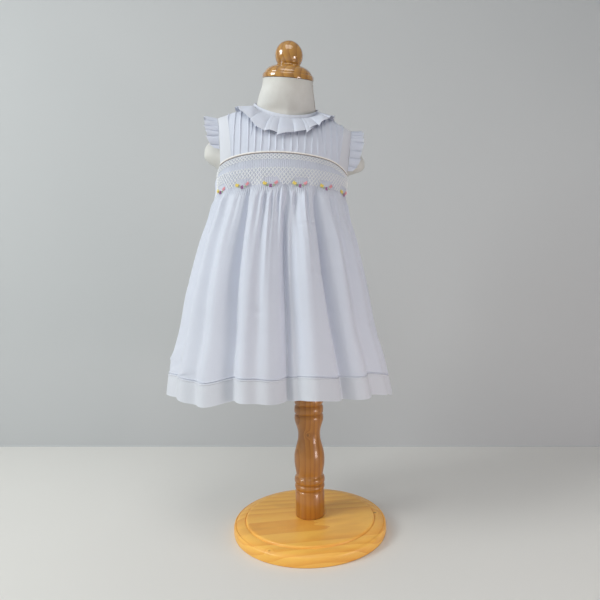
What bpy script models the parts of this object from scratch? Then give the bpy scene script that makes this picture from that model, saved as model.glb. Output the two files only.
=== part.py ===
"""A toddler's smocked dress on a limbless dress form with a turned wooden stand.

Metres, +Z up. The dress's front faces -Y. The origin is the centre of the base's
underside, on the floor. Dress and form are first worked out upright about their own
axis, x = y = 0, and then settled on the stand: they sit a little to the -X side of
the post and lean slightly, as a form does on a loose socket.

Every cloth piece is a thin closed wall. Pieces meet at their seams with a small gap.
Angles around the body run from 0 at the centre front, through +90 at the +X side, to
180 at the centre back.
"""

import math

import bpy
import numpy as np

# --------------------------------------------------------------------- sizes

SEAM_GAP = 0.0004          # clear distance between two pieces at a seam
CLOTH = 0.0012             # one wall of batiste with its seam allowances
HEM_CLOTH = 0.0020         # the turned-up hem, two layers
HEM_DEPTH = 0.030          # height of the turned-up hem

BASE_RADIUS = 0.115
BASE_PANEL_RADIUS = 0.0972 # the raised round panel on top of the base
POST_FOOT_HEIGHT = 0.0200
POST_TOP_HEIGHT = 0.2995
POST_WAIST_RADIUS = 0.0168

FORM_BOTTOM_HEIGHT = 0.300
NECK_TOP_HEIGHT = 0.6735
NECK_TOP_RADIUS = 0.0372
NECK_PITCH = math.radians(19.0)   # the neck's top slopes down towards the front
NECK_ROLL = math.radians(2.0)     # and a little down towards +X
LEFT_SHOULDER_REACH = 0.0250      # how far the -X shoulder cap stands out of the side
RIGHT_SHOULDER_REACH = 0.0310     # and the +X one
SHOULDER_CAP_HEIGHT = 0.560
SHOULDER_CAP_BELOW = 0.0160       # how far the caps reach below that height
SHOULDER_CAP_ABOVE = 0.0270       # and above it
SHOULDER_CAP_SPREAD = math.radians(20.0)

CAP_RADIUS = 0.0380
CAP_THICKNESS = 0.0200
BALL_RADIUS = 0.0204
BALL_NECK_RADIUS = 0.0170

NECK_HALF_WIDTH = 0.0495
NECK_FRONT_DEPTH = 0.046
NECK_BACK_DEPTH = 0.036
NECK_SIDE_HEIGHT = 0.636
NECK_FRONT_DROP = 0.030
NECK_BACK_RISE = 0.014
NECKBAND_HEIGHT = 0.0068

SHOULDER_TIP = (0.101, 0.0, 0.6145)
YOKE_SEAM_HEIGHT = 0.552          # at the centre front
YOKE_SEAM_DROP = 0.0095           # how much lower the seam is at the armholes
YOKE_SEAM_END = math.radians(70.0)
UNDERARM_HEIGHT = 0.533
PIPING_RADIUS = 0.0011
SIDE_SEAM_END = math.radians(89.75)

NECK_FRILL_PLEATS = 22
NECK_FRILL_END = math.radians(172.0)   # it stops at each side of the back opening
NECK_FRILL_START = 0.0020         # how far outside the neckband it starts
NECK_FRILL_RISE = 0.0015          # how far above the neckline seam the frill starts
FRILL_CLEARANCE = 0.0034          # from a yoke's face to the near frill's outer face
ARMHOLE_FRILL_PLEATS = 13
BACK_LAP = 0.009                  # half the width of the buttoned back lap
BUTTON_RADIUS = 0.0055
BUTTON_THICKNESS = 0.0024
BUTTON_HEIGHTS = (0.6110, 0.5900, 0.5690)

# Half sizes of the skirt at each height, about the form's axis.
SECTION_COLUMNS = ("height", "half_width", "front", "back")
SKIRT_SECTIONS = (
    (0.209, 0.1668, 0.122, 0.119),
    (0.252, 0.1598, 0.116, 0.113),
    (0.312, 0.1440, 0.106, 0.103),
    (0.3515, 0.1372, 0.100, 0.097),
    (0.385, 0.1300, 0.094, 0.090),
    (0.433, 0.1180, 0.084, 0.080),
    (0.475, 0.1040, 0.0740, 0.069),
    (0.510, 0.0978, 0.0675, 0.062),
    (0.555, 0.1000, 0.0680, 0.061),
)

# Height of the hem around the skirt.
HEM_COLUMNS = ("angle", "height")
HEM_HEIGHTS = (
    (-180, 0.207), (-90, 0.2140), (-65, 0.2165), (-50, 0.2135), (-38, 0.2110),
    (-25, 0.2185), (-12, 0.2170), (0, 0.2160), (13, 0.2185), (28, 0.2130), (45, 0.2140),
    (90, 0.200), (135, 0.203), (180, 0.207),
)

# Largest folds: where each starts below the gathers and ends at the hem, its half
# width there in degrees, and how far it stands out (+) or in (-).
FOLD_COLUMNS = ("top_angle", "hem_angle", "spread", "depth")
FRONT_FOLDS = (
    (-66, -66, 6.0, -0.0055),
    (-58, -56, 5.0, 0.0060),
    (-50, -46, 5.0, -0.0060),
    (-40, -36, 5.0, 0.0075),
    (-31, -26, 4.5, -0.0085),
    (-23, -19, 4.5, 0.0070),
    (-11, -9, 4.0, 0.0065),
    (1, 0, 4.0, -0.0110),
    (11, 11, 4.5, 0.0075),
    (21, 20, 4.0, 0.0040),
    (26, 29, 4.5, -0.0095),
    (36, 39, 5.0, 0.0075),
    (46, 48, 4.5, -0.0065),
    (57, 58, 5.0, 0.0065),
    (67, 68, 6.0, -0.0055),
)
BACK_FOLDS = (
    (112, 110, 6.0, -0.0060),
    (121, 121, 5.5, 0.0065),
    (131, 132, 5.0, -0.0080),
    (141, 143, 5.0, 0.0075),
    (152, 154, 5.0, -0.0075),
    (161, 163, 5.0, 0.0080),
    (172, 173, 5.0, -0.0100),
    (184, 183, 5.5, 0.0085),
    (195, 194, 5.0, -0.0080),
    (205, 205, 5.0, 0.0070),
    (216, 217, 5.0, -0.0085),
    (228, 228, 5.5, 0.0070),
    (240, 241, 6.0, -0.0060),
)

# The form's outline: half sizes, how pointed its oval is at the sides (1 is an
# ellipse), how far each section is moved along Y, and its slope.
FORM_COLUMNS = ("height", "half_width", "front", "back", "taper", "shift", "pitch")
FORM_SECTIONS = (
    (0.3000, 0.0840, 0.0570, 0.0550, 1.00, 0.0000, 0.0),
    (0.3025, 0.0890, 0.0610, 0.0590, 1.00, 0.0000, 0.0),
    (0.3100, 0.0930, 0.0640, 0.0620, 1.00, 0.0000, 0.0),
    (0.3450, 0.0965, 0.0670, 0.0655, 1.00, 0.0000, 0.0),
    (0.3850, 0.0945, 0.0670, 0.0630, 1.00, 0.0000, 0.0),
    (0.4350, 0.0895, 0.0640, 0.0575, 1.00, 0.0000, 0.0),
    (0.4850, 0.0895, 0.0615, 0.0550, 1.00, 0.0000, 0.0),
    (0.5200, 0.0915, 0.0610, 0.0550, 1.00, 0.0000, 0.0),
    (0.5320, 0.0920, 0.0605, 0.0548, 1.00, 0.0000, 0.0),
    (0.5400, 0.0925, 0.0602, 0.0546, 1.00, 0.0000, 0.0),
    (0.5480, 0.0930, 0.0597, 0.0544, 1.00, 0.0000, 0.0),
    (0.5580, 0.0935, 0.0582, 0.0540, 1.00, 0.0000, 0.0),
    (0.5680, 0.0935, 0.0561, 0.0533, 1.00, 0.0000, 0.0),
    (0.5770, 0.0930, 0.0540, 0.0523, 1.01, 0.0000, 0.0),
    (0.5870, 0.0915, 0.0512, 0.0508, 1.04, 0.0000, 0.0),
    (0.5980, 0.0870, 0.0460, 0.0480, 1.12, -0.0005, 0.0),
    (0.6085, 0.0785, 0.0395, 0.0425, 1.28, -0.0010, 1.5),
    (0.6180, 0.0635, 0.0360, 0.0385, 1.42, -0.0028, 4.0),
    (0.6270, 0.0505, 0.0350, 0.0365, 1.35, -0.0045, 8.0),
    (0.6370, 0.0446, 0.0350, 0.0365, 1.15, -0.0072, 13.0),
    (0.6480, 0.0420, 0.0355, 0.0360, 1.06, -0.0110, 16.5),
    (0.6600, 0.0392, 0.0362, 0.0366, 1.00, -0.0150, 19.0),
    (0.6735, 0.0372, 0.0372, 0.0372, 1.00, -0.0200, 19.0),
)

# How dress and form sit on the stand: sideways shift and sideways slope by height.
SETTLE_COLUMNS = ("height", "shift", "slope")
SETTLE = (
    (0.20, -0.0405, 0.0),
    (0.27, -0.0430, 0.0),
    (0.34, -0.0432, 0.0),
    (0.43, -0.0408, 0.0),
    (0.485, -0.0388, 0.0),
    (0.515, -0.0350, 0.0),
    (0.56, -0.0322, 2.6),
    (0.62, -0.0293, 3.5),
    (0.72, -0.0236, 3.5),
)

# The neck frill around the neck: how far it reaches out from the neckline, and how
# high its edge stands off the yokes.
NECK_FRILL_COLUMNS = ("angle", "reach", "lift")
NECK_FRILL_SHAPE = (
    (0, 0.0175, 0.0036), (45, 0.0190, 0.0040), (75, 0.0215, 0.0050),
    (90, 0.0225, 0.0055), (135, 0.0165, 0.0045), (180, 0.0100, 0.0040),
)

# Width of the armhole frill from its front end over the shoulder to its back end, and
# where on each armhole (0 front, 0.5 shoulder, 1 back) the frill starts in front.
ARMHOLE_FRILL_COLUMNS = ("place", "width")
ARMHOLE_FRILL_WIDTHS = (
    (0.0, 0.0050), (0.08, 0.0135), (0.18, 0.0175), (0.32, 0.0185), (0.50, 0.0175),
    (0.70, 0.0165), (0.88, 0.0125), (1.0, 0.0055),
)
LEFT_FRILL_START = 0.105
RIGHT_FRILL_START = 0.04
FRILL_END = 0.96

# Turned profiles from top to bottom: radius and height.
PROFILE_COLUMNS = ("radius", "height")
BASE_PROFILE = (
    (0.0000, 0.0198), (0.0500, 0.0198), (0.0915, 0.0198), (0.0952, 0.0196),
    (0.0970, 0.0188), (BASE_PANEL_RADIUS, 0.0176), (0.0978, 0.0172),
    (0.1060, 0.0171), (0.1070, 0.0163), (0.1080, 0.0170), (0.1104, 0.0166),
    (0.1128, 0.0154), (0.1143, 0.0132), (BASE_RADIUS, 0.0090), (0.1148, 0.0035),
    (0.1138, 0.0006), (0.1128, 0.0000), (0.0550, 0.0000), (0.0000, 0.0000),
)
POST_PROFILE = (
    (0.0000, POST_TOP_HEIGHT), (0.0158, POST_TOP_HEIGHT), (0.0165, 0.2985),
    (0.0165, 0.2045), (0.0172, 0.2030),
    (0.0205, 0.2000), (0.0219, 0.1965), (0.0218, 0.1905), (0.0204, 0.1880),
    (0.0219, 0.1855), (0.0219, 0.1765), (0.0206, 0.1744),
    (0.0218, 0.1722), (0.0218, 0.1640), (0.0205, 0.1595),
    (0.0178, 0.1520), (POST_WAIST_RADIUS, 0.1430), (0.0176, 0.1340),
    (0.0200, 0.1255), (0.0222, 0.1160), (0.0231, 0.1065), (0.0226, 0.0965),
    (0.0210, 0.0865), (0.0203, 0.0812),
    (0.0222, 0.0790), (0.0228, 0.0745), (0.0222, 0.0700), (0.0212, 0.0688),
    (0.0224, 0.0672), (0.0224, 0.0622), (0.0211, 0.0596), (0.0221, 0.0570),
    (0.0221, 0.0210), (0.0217, POST_FOOT_HEIGHT), (0.0000, POST_FOOT_HEIGHT),
)
CAP_PROFILE = (
    (0.0000, CAP_THICKNESS), (0.0170, CAP_THICKNESS), (0.0195, 0.0192), (0.0240, 0.0177),
    (0.0290, 0.0152), (0.0325, 0.0124), (0.0349, 0.0092), (0.0360, 0.0074), (0.0374, 0.0058),
    (CAP_RADIUS, 0.0030), (0.0379, 0.0006), (0.0370, 0.0000), (0.0000, 0.0000),
)

# Number of rows and columns in each grid.
SKIRT_ROWS = 9
SKIRT_PANEL_COLUMNS = 60
YOKE_ROWS = 6
FORM_SEGMENTS = 40
TURNED_SEGMENTS = 24
BASE_SEGMENTS = 48
PLEAT_COLUMNS = 4


# ----------------------------------------------------------- tables and finishes

def column(table, columns, name):
    """One named column of a table as an array."""
    return np.array([row[columns.index(name)] for row in table], dtype=float)


def smooth(table, columns, name, at):
    """A column read at any value of the table's first column.

    A cubic through the rows. Its slope at a row is zero where the neighbouring
    slopes differ in sign and their harmonic mean elsewhere, so it never overshoots.
    """
    keys = column(table, columns, columns[0])
    values = column(table, columns, name)
    steps = np.diff(keys)
    secants = np.diff(values) / steps
    slopes = np.concatenate(([secants[0]], np.zeros(len(keys) - 2), [secants[-1]]))
    product = secants[:-1] * secants[1:]
    both = product > 0
    slopes[1:-1][both] = 2 * product[both] / (secants[:-1] + secants[1:])[both]
    at = np.clip(at, keys[0], keys[-1])
    cell = np.clip(np.searchsorted(keys, at) - 1, 0, len(steps) - 1)
    t = (at - keys[cell]) / steps[cell]
    return ((1 + 2 * t) * (1 - t) ** 2 * values[cell]
            + t * (1 - t) ** 2 * steps[cell] * slopes[cell]
            + t ** 2 * (3 - 2 * t) * values[cell + 1]
            + t ** 2 * (t - 1) * steps[cell] * slopes[cell + 1])


def finish(name, colour, roughness):
    """A Principled material with one colour and roughness."""
    material = bpy.data.materials.new(name)
    material.use_nodes = True
    shader = material.node_tree.nodes["Principled BSDF"]
    shader.inputs["Base Color"].default_value = (*colour, 1.0)
    shader.inputs["Roughness"].default_value = roughness
    shader.inputs["Metallic"].default_value = 0.0
    return material


# ------------------------------------------------------------------ mesh makers

def settle(points):
    """Moves upright points to where dress and form really sit on the stand."""
    points = np.asarray(points, dtype=float)
    height = points[..., 2]
    slope = np.tan(np.radians(smooth(SETTLE, SETTLE_COLUMNS, "slope", height)))
    settled = points.copy()
    settled[..., 0] += smooth(SETTLE, SETTLE_COLUMNS, "shift", height)
    settled[..., 2] -= points[..., 0] * slope
    return settled


def make_object(name, vertices, faces, material):
    """A smooth-shaded mesh object made from vertices and faces."""
    mesh = bpy.data.meshes.new(name)
    mesh.from_pydata([tuple(v) for v in vertices], [], faces)
    mesh.materials.append(material)
    mesh.shade_smooth()
    mesh.set_sharp_from_angle(angle=math.radians(40))
    made = bpy.data.objects.new(name, mesh)
    bpy.context.scene.collection.objects.link(made)
    return made


def grid_normals(grid, closed):
    """Outward unit normals of a grid whose rows run down and columns run round."""
    if closed:
        across = np.roll(grid, -1, axis=1) - np.roll(grid, 1, axis=1)
    else:
        across = np.gradient(grid, axis=1)
    down = np.gradient(grid, axis=0)
    normals = np.cross(down, across)
    return normals / np.linalg.norm(normals, axis=2, keepdims=True)


def cloth_wall(name, outer, thickness, material, closed=False):
    """A closed wall from a grid of outer points, rows down and columns round.

    The inner face is the outer one moved inwards along its normals by the thickness,
    which is one number or one for each row. A closed grid joins its last column to
    its first.
    """
    rows, columns = outer.shape[:2]
    depth = np.broadcast_to(np.asarray(thickness, dtype=float), (rows,))
    inner = outer - grid_normals(outer, closed) * depth[:, None, None]
    count = rows * columns
    vertices = np.concatenate((settle(outer).reshape(-1, 3), settle(inner).reshape(-1, 3)))
    faces = []
    last = columns if closed else columns - 1

    def at(row, col, layer):
        return layer * count + row * columns + col % columns

    for row in range(rows - 1):
        for col in range(last):
            corners = ((row, col), (row + 1, col), (row + 1, col + 1), (row, col + 1))
            faces.append([at(r, c, 0) for r, c in corners])
            faces.append([at(r, c, 1) for r, c in reversed(corners)])
    for col in range(last):
        faces.append([at(0, col, 0), at(0, col + 1, 0), at(0, col + 1, 1), at(0, col, 1)])
        end = rows - 1
        faces.append([at(end, col + 1, 0), at(end, col, 0), at(end, col, 1), at(end, col + 1, 1)])
    if not closed:
        for row in range(rows - 1):
            end = columns - 1
            faces.append([at(row + 1, 0, 0), at(row, 0, 0), at(row, 0, 1), at(row + 1, 0, 1)])
            faces.append([at(row, end, 0), at(row + 1, end, 0), at(row + 1, end, 1), at(row, end, 1)])
    return make_object(name, vertices, faces, material)


def rings_solid(name, rings, top, bottom, material):
    """A closed solid from rings, top to bottom, ended by a point at each end."""
    rows, columns = rings.shape[:2]
    vertices = np.concatenate((rings.reshape(-1, 3), [top, bottom]))
    top_index, bottom_index = rows * columns, rows * columns + 1
    faces = []
    for col in range(columns):
        right = (col + 1) % columns
        faces.append([top_index, col, right])
        foot = (rows - 1) * columns
        faces.append([bottom_index, foot + right, foot + col])
        for row in range(rows - 1):
            here, below = row * columns, (row + 1) * columns
            faces.append([here + col, below + col, below + right, here + right])
    return make_object(name, vertices, faces, material)


def turned(name, profile, segments, material, place=None):
    """A turned solid about Z from its (radius, height) profile, top to bottom."""
    radius = column(profile[1:-1], PROFILE_COLUMNS, "radius")
    height = column(profile[1:-1], PROFILE_COLUMNS, "height")
    angle = np.arange(segments) * (2 * math.pi / segments)
    rings = np.stack((radius[:, None] * np.sin(angle), -radius[:, None] * np.cos(angle),
                      np.broadcast_to(height[:, None], (len(height), segments))), axis=2)
    ends = np.array([(0, 0, profile[0][1]), (0, 0, profile[-1][1])])
    if place is not None:
        rings, ends = place(rings), place(ends)
    return rings_solid(name, rings, ends[0], ends[1], material)


def cord_tube(name, path, radius, sides, material):
    """A round cord along a path of points, its ends closed."""
    along = np.gradient(path, axis=0)
    along /= np.linalg.norm(along, axis=1, keepdims=True)
    side = np.cross(along, (0.0, 0.0, 1.0))
    side /= np.linalg.norm(side, axis=1, keepdims=True)
    up = np.cross(side, along)
    turn = np.arange(sides) * (2 * math.pi / sides)
    rings = (path[:, None] + radius * (np.cos(turn)[None, :, None] * side[:, None]
                                       + np.sin(turn)[None, :, None] * up[:, None]))
    ends = settle(path[[0, -1]])
    return rings_solid(name, settle(rings), ends[0], ends[1], material)


# -------------------------------------------------------------- the dress's form

def around(angle, half_width, front, back, taper=1.0):
    """Points of an oval whose front and back halves differ in depth.

    A taper over 1 draws its sides out to blunt points, as over the shoulders.
    """
    sine, cosine = np.sin(angle), np.cos(angle)
    depth = np.where(cosine > 0, front, back)
    return (half_width * np.sign(sine) * np.abs(sine) ** taper,
            -depth * np.sign(cosine) * np.abs(cosine) ** taper)


def skirt_section(angle, height):
    """The oval of the skirt at a height, before its folds."""
    sizes = [smooth(SKIRT_SECTIONS, SECTION_COLUMNS, name, height)
             for name in ("half_width", "front", "back")]
    return around(angle, *sizes)


def yoke_seam_height(angle):
    """Height of the seam between yoke and skirt, lower towards the sides."""
    off_centre = np.minimum(np.abs(angle), math.pi - np.abs(angle)) / YOKE_SEAM_END
    return YOKE_SEAM_HEIGHT - YOKE_SEAM_DROP * np.minimum(off_centre, 1.0) ** 2


def skirt_top_height(angle):
    """Top edge of the skirt: the yoke seam, then the underarm dip."""
    turned_in = np.minimum(np.abs(angle), math.pi - np.abs(angle))
    past_yoke = np.clip((turned_in - YOKE_SEAM_END) / (math.pi / 2 - YOKE_SEAM_END), 0, 1)
    seam = yoke_seam_height(angle) - PIPING_RADIUS - SEAM_GAP
    dip = past_yoke ** 2 * (3 - 2 * past_yoke)
    return seam + dip * (UNDERARM_HEIGHT - seam)


def fold_relief(angle, drop, folds):
    """How far the folds move the cloth out, as smooth bumps that grow with the drop."""
    degrees = np.degrees(angle)
    growth = np.clip((drop - 0.10) / 0.45, 0, 1)
    growth = growth * (2 - growth)
    relief = np.zeros_like(degrees)
    for top_angle, hem_angle, spread, depth in folds:
        centre = top_angle + (hem_angle - top_angle) * drop
        relief += depth * growth * np.exp(-((degrees - centre) / spread) ** 2)
    return relief


def skirt_grid(start, end, folds):
    """Outer points of a skirt panel between two side seams, top edge to hem."""
    angle, drop = np.meshgrid(np.linspace(start, end, SKIRT_PANEL_COLUMNS + 1),
                              np.linspace(0, 1, SKIRT_ROWS + 1) ** 1.15)
    turn = (np.degrees(angle) + 180) % 360 - 180
    hem = smooth(HEM_HEIGHTS, HEM_COLUMNS, "height", turn)
    top = skirt_top_height(np.radians(turn))
    height = top + (hem - top) * drop
    x, y = skirt_section(angle, height)
    relief = fold_relief(angle, drop, folds)
    return np.stack((x + relief * np.sin(angle), y - relief * np.cos(angle), height), axis=2)


def skirt_thickness(grid):
    """Wall of each row: two layers of cloth within the turned-up hem."""
    above_hem = grid[:, :, 2].mean(axis=1) - grid[-1, :, 2].mean()
    return np.where(above_hem < HEM_DEPTH, HEM_CLOTH, CLOTH)


def neckline(angle):
    """The neckline seam, lower in front and a little higher at the back."""
    x, y = around(angle, NECK_HALF_WIDTH, NECK_FRONT_DEPTH, NECK_BACK_DEPTH)
    cosine = np.cos(angle)
    height = (NECK_SIDE_HEIGHT - NECK_FRONT_DROP * np.maximum(cosine, 0) ** 1.2
              + NECK_BACK_RISE * np.maximum(-cosine, 0))
    return np.stack((x, y, height), axis=-1)


def yoke_grid(side):
    """Outer points of the front (side -1) or back (side +1) yoke, top to bottom.

    Each column runs up from the yoke seam to the neckline or the shoulder seam. It is
    an arc of a parabola that leaves the seam nearly upright and leans in above.
    """
    neck_turn = np.linspace(-math.pi / 2, math.pi / 2, 13)
    neck_angle = neck_turn if side < 0 else math.pi - neck_turn
    neck = neckline(neck_angle)
    neck_end = abs(neck[0, 0])
    share = np.linspace(0, 1, 6)[1:]
    tip = np.array(SHOULDER_TIP)
    corner = np.array((neck_end, 0.0, NECK_SIDE_HEIGHT))
    shoulder = corner + share[:, None] * (tip - corner)
    mirrored = shoulder[::-1] * np.array((-1, 1, 1))
    top = np.concatenate((mirrored, neck, shoulder))
    top[:, 1] += side * (SEAM_GAP + 0.8 * CLOTH)
    top[:, 2] -= 0.0010

    half_width, _ = skirt_section(math.pi / 2, YOKE_SEAM_HEIGHT)
    reach = half_width * math.sin(YOKE_SEAM_END)
    outside = np.clip((np.abs(top[:, 0]) - neck_end) / (tip[0] - neck_end), 0, 1)
    foot_x = np.where(outside > 0, neck_end + outside * (reach - neck_end), np.abs(top[:, 0]))
    foot_turn = np.arcsin(foot_x / half_width) * np.sign(top[:, 0])
    foot_angle = foot_turn if side < 0 else math.pi - foot_turn
    seam = yoke_seam_height(foot_turn)
    x, y = skirt_section(foot_angle, seam)
    foot = np.stack((x, y, seam + PIPING_RADIUS + SEAM_GAP), axis=1)

    depth = NECK_FRONT_DEPTH if side < 0 else NECK_BACK_DEPTH
    rise = 0.85 - 0.23 * np.abs(top[:, 1]) / depth
    middle = foot + (top - foot) * np.stack((np.full_like(rise, 0.35), 0 * rise, rise), axis=1)
    middle[:, 1] = foot[:, 1] * (0.97 + 0.5 * outside ** 2)
    t = np.linspace(1, 0, YOKE_ROWS + 1)[:, None, None]
    grid = (1 - t) ** 2 * foot + 2 * t * (1 - t) * middle + t ** 2 * top
    return grid if side < 0 else grid[:, ::-1]


def yoke_height(x, y):
    """Height of the yokes' outer surface over points of the shoulders."""
    height = np.empty_like(x)
    for side in (-1, 1):
        grid = yoke_grid(side)[:, ::-side]
        for index in np.flatnonzero(y * side >= 0):
            column_y = [np.interp(x[index], row[:, 0], row[:, 1]) for row in grid]
            column_z = [np.interp(x[index], row[:, 0], row[:, 2]) for row in grid]
            inward = np.array(column_y) * side
            height[index] = np.interp(abs(y[index]), inward, column_z)
    return height


def moved_off_yokes(x, y, distance):
    """Points over the shoulders, moved off the yokes along their normals."""
    nudge = 0.0015
    slope_x = (yoke_height(x + nudge, y) - yoke_height(x - nudge, y)) / (2 * nudge)
    slope_y = (yoke_height(x, y + nudge) - yoke_height(x, y - nudge)) / (2 * nudge)
    normal = np.stack((-slope_x, -slope_y, np.ones_like(x)), axis=1)
    normal /= np.linalg.norm(normal, axis=1, keepdims=True)
    surface = np.stack((x, y, yoke_height(x, y)), axis=1)
    return surface + normal * distance[:, None]


def armhole_edge(share, side):
    """The armhole's edge from front (0) over the shoulder tip (0.5) to back (1)."""
    front = yoke_grid(-1)[::-1, -1 if side > 0 else 0]
    back = yoke_grid(1)[:, 0 if side > 0 else -1]
    edge = np.concatenate((front, back))
    place = np.concatenate((np.linspace(0, 0.5, len(front)), np.linspace(0.5, 1, len(back))))
    place[len(front)] += 1e-6
    return np.stack([np.interp(share, place, edge[:, axis]) for axis in range(3)], axis=-1)


# ---------------------------------------------------------------- cloth pieces

def build_skirts(cloth):
    """The front skirt with its smocked top, and the back skirt, with their hems."""
    front = skirt_grid(-SIDE_SEAM_END, SIDE_SEAM_END, FRONT_FOLDS)
    cloth_wall("skirt_front", front, skirt_thickness(front), cloth)
    back = skirt_grid(math.pi - SIDE_SEAM_END, math.pi + SIDE_SEAM_END, BACK_FOLDS)
    cloth_wall("skirt_back", back, skirt_thickness(back), cloth)


def build_yokes(cloth):
    """The front yoke and the two back yokes, which lap at the centre back."""
    cloth_wall("front_yoke", yoke_grid(-1), CLOTH, cloth)
    back = yoke_grid(1)
    x = back[0, :, 0]
    under = back[:, x > BACK_LAP - 0.001]
    over = back[:, x < BACK_LAP - 0.001]
    lap = cut_at_x(back, BACK_LAP)
    over = np.concatenate((lap[:, None], over), axis=1)
    over[:, :4] = lift(over[:, :4], CLOTH + 2 * SEAM_GAP)
    under_lap = cut_at_x(back, -BACK_LAP)
    inside = (x <= BACK_LAP - 0.001) & (x > -BACK_LAP + 0.001)
    under = np.concatenate((under, back[:, inside], under_lap[:, None]), axis=1)
    cloth_wall("back_yoke_left", under, CLOTH, cloth)
    cloth_wall("back_yoke_right", over, CLOTH, cloth)


def cut_at_x(grid, x):
    """The column of a back grid at one x, whose columns run from +X to -X."""
    rows = [[np.interp(-x, -row[:, 0], row[:, axis]) for axis in range(3)] for row in grid]
    return np.array(rows)


def lift(grid, distance):
    """A grid moved straight back, all of it at the lap and less further from it."""
    share = np.array((1.0, 1.0, 1.0, 0.35))[:grid.shape[1]]
    lifted = grid.copy()
    lifted[:, :, 1] += distance * share
    return lifted


def build_buttons(pearl):
    """Round buttons on the centre back, facing the way the lap faces."""
    back = yoke_grid(1)
    centre = cut_at_x(back, 0.0)[::-1]
    for number, height in enumerate(BUTTON_HEIGHTS, start=1):
        y = np.interp(height, centre[:, 2], centre[:, 1])
        y_above = np.interp(height + 0.004, centre[:, 2], centre[:, 1])
        slope = math.atan2(y - y_above, 0.004)
        clear = CLOTH + 6 * SEAM_GAP

        def place(points, y=y, height=height, slope=slope, clear=clear):
            x, across, out = points[..., 0], points[..., 1], points[..., 2] + clear
            return settle(np.stack((x, y + out * math.cos(slope) + across * math.sin(slope),
                                    height + out * math.sin(slope) - across * math.cos(slope)),
                                   axis=-1))

        rim = BUTTON_THICKNESS
        profile = ((0.0, rim * 0.8), (BUTTON_RADIUS * 0.7, rim * 0.8), (BUTTON_RADIUS * 0.9, rim),
                   (BUTTON_RADIUS, rim * 0.5), (BUTTON_RADIUS * 0.9, 0.0), (0.0, 0.0))
        turned(f"back_button_{number}", profile, 16, pearl, place)


def build_piping(ecru):
    """The cord in the front yoke seam, from armhole to armhole."""
    angle = np.linspace(-YOKE_SEAM_END, YOKE_SEAM_END, 31)
    height = yoke_seam_height(angle)
    x, y = skirt_section(angle, height)
    inset = 0.0004
    path = np.stack((x - inset * np.sin(angle), y + inset * np.cos(angle), height), axis=1)
    cord_tube("yoke_piping", path, PIPING_RADIUS, 6, ecru)


def build_neck(cloth):
    """The upright neckband and the pleated frill sewn in below it."""
    angle = np.linspace(0, 2 * math.pi, 37)[:-1]
    seam = neckline(angle)
    rise = NECKBAND_HEIGHT * np.array((1.0, 0.5, 0.0))
    lean_in = 1 - rise * 3.0
    band = seam[None] * np.stack((lean_in, lean_in, np.ones(3)), axis=1)[:, None]
    band[:, :, 2] += rise[:, None]
    cloth_wall("neckband", band, CLOTH, cloth, closed=True)

    angle = np.linspace(-NECK_FRILL_END, NECK_FRILL_END, NECK_FRILL_PLEATS * PLEAT_COLUMNS + 1)
    seam = neckline(angle)
    turned_in = np.degrees(np.abs(angle))
    reach = smooth(NECK_FRILL_SHAPE, NECK_FRILL_COLUMNS, "reach", turned_in)
    lift_off = smooth(NECK_FRILL_SHAPE, NECK_FRILL_COLUMNS, "lift", turned_in)
    wave = np.cos(NECK_FRILL_PLEATS * angle)
    rows = []
    for share in (0.0, 0.5, 1.0):
        out = NECK_FRILL_START + (reach - NECK_FRILL_START) * share
        x, y = seam[:, 0] + out * np.sin(angle), seam[:, 1] - out * np.cos(angle)
        start = np.array((0.0, 0.0, NECK_FRILL_RISE)) * (1 - share) ** 2
        stand_off = FRILL_CLEARANCE + lift_off * share + wave * (0.0002 + 0.0018 * share)
        rows.append(moved_off_yokes(x, y, stand_off) + start)
    cloth_wall("neck_frill", np.array(rows), CLOTH, cloth)


def build_armhole_frills(cloth):
    """A pleated frill along each armhole, from its front over the shoulder to its back."""
    place = np.linspace(0, 1, ARMHOLE_FRILL_PLEATS * PLEAT_COLUMNS + 1)
    width = smooth(ARMHOLE_FRILL_WIDTHS, ARMHOLE_FRILL_COLUMNS, "width", place)
    wave = np.cos(2 * math.pi * ARMHOLE_FRILL_PLEATS * place)
    for name, side, start in (("armhole_frill_left", -1.0, LEFT_FRILL_START),
                              ("armhole_frill_right", 1.0, RIGHT_FRILL_START)):
        share = start + (FRILL_END - start) * place
        edge = armhole_edge(share, side)
        over = np.stack((np.zeros_like(share), -np.cos(math.pi * share), np.sin(math.pi * share)), axis=1)
        rows = []
        for step in (0.0, 0.5, 1.0):
            row = edge.copy()
            row[:, 0] += side * (3 * SEAM_GAP + width * step)
            row += over * (wave * (0.0003 + 0.0021 * step))[:, None]
            rows.append(row)
        grid = np.array(rows)
        if side < 0:
            grid = grid[:, ::-1]
        cloth_wall(name, grid, CLOTH, cloth)


# ------------------------------------------------------------- form and stand

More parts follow.
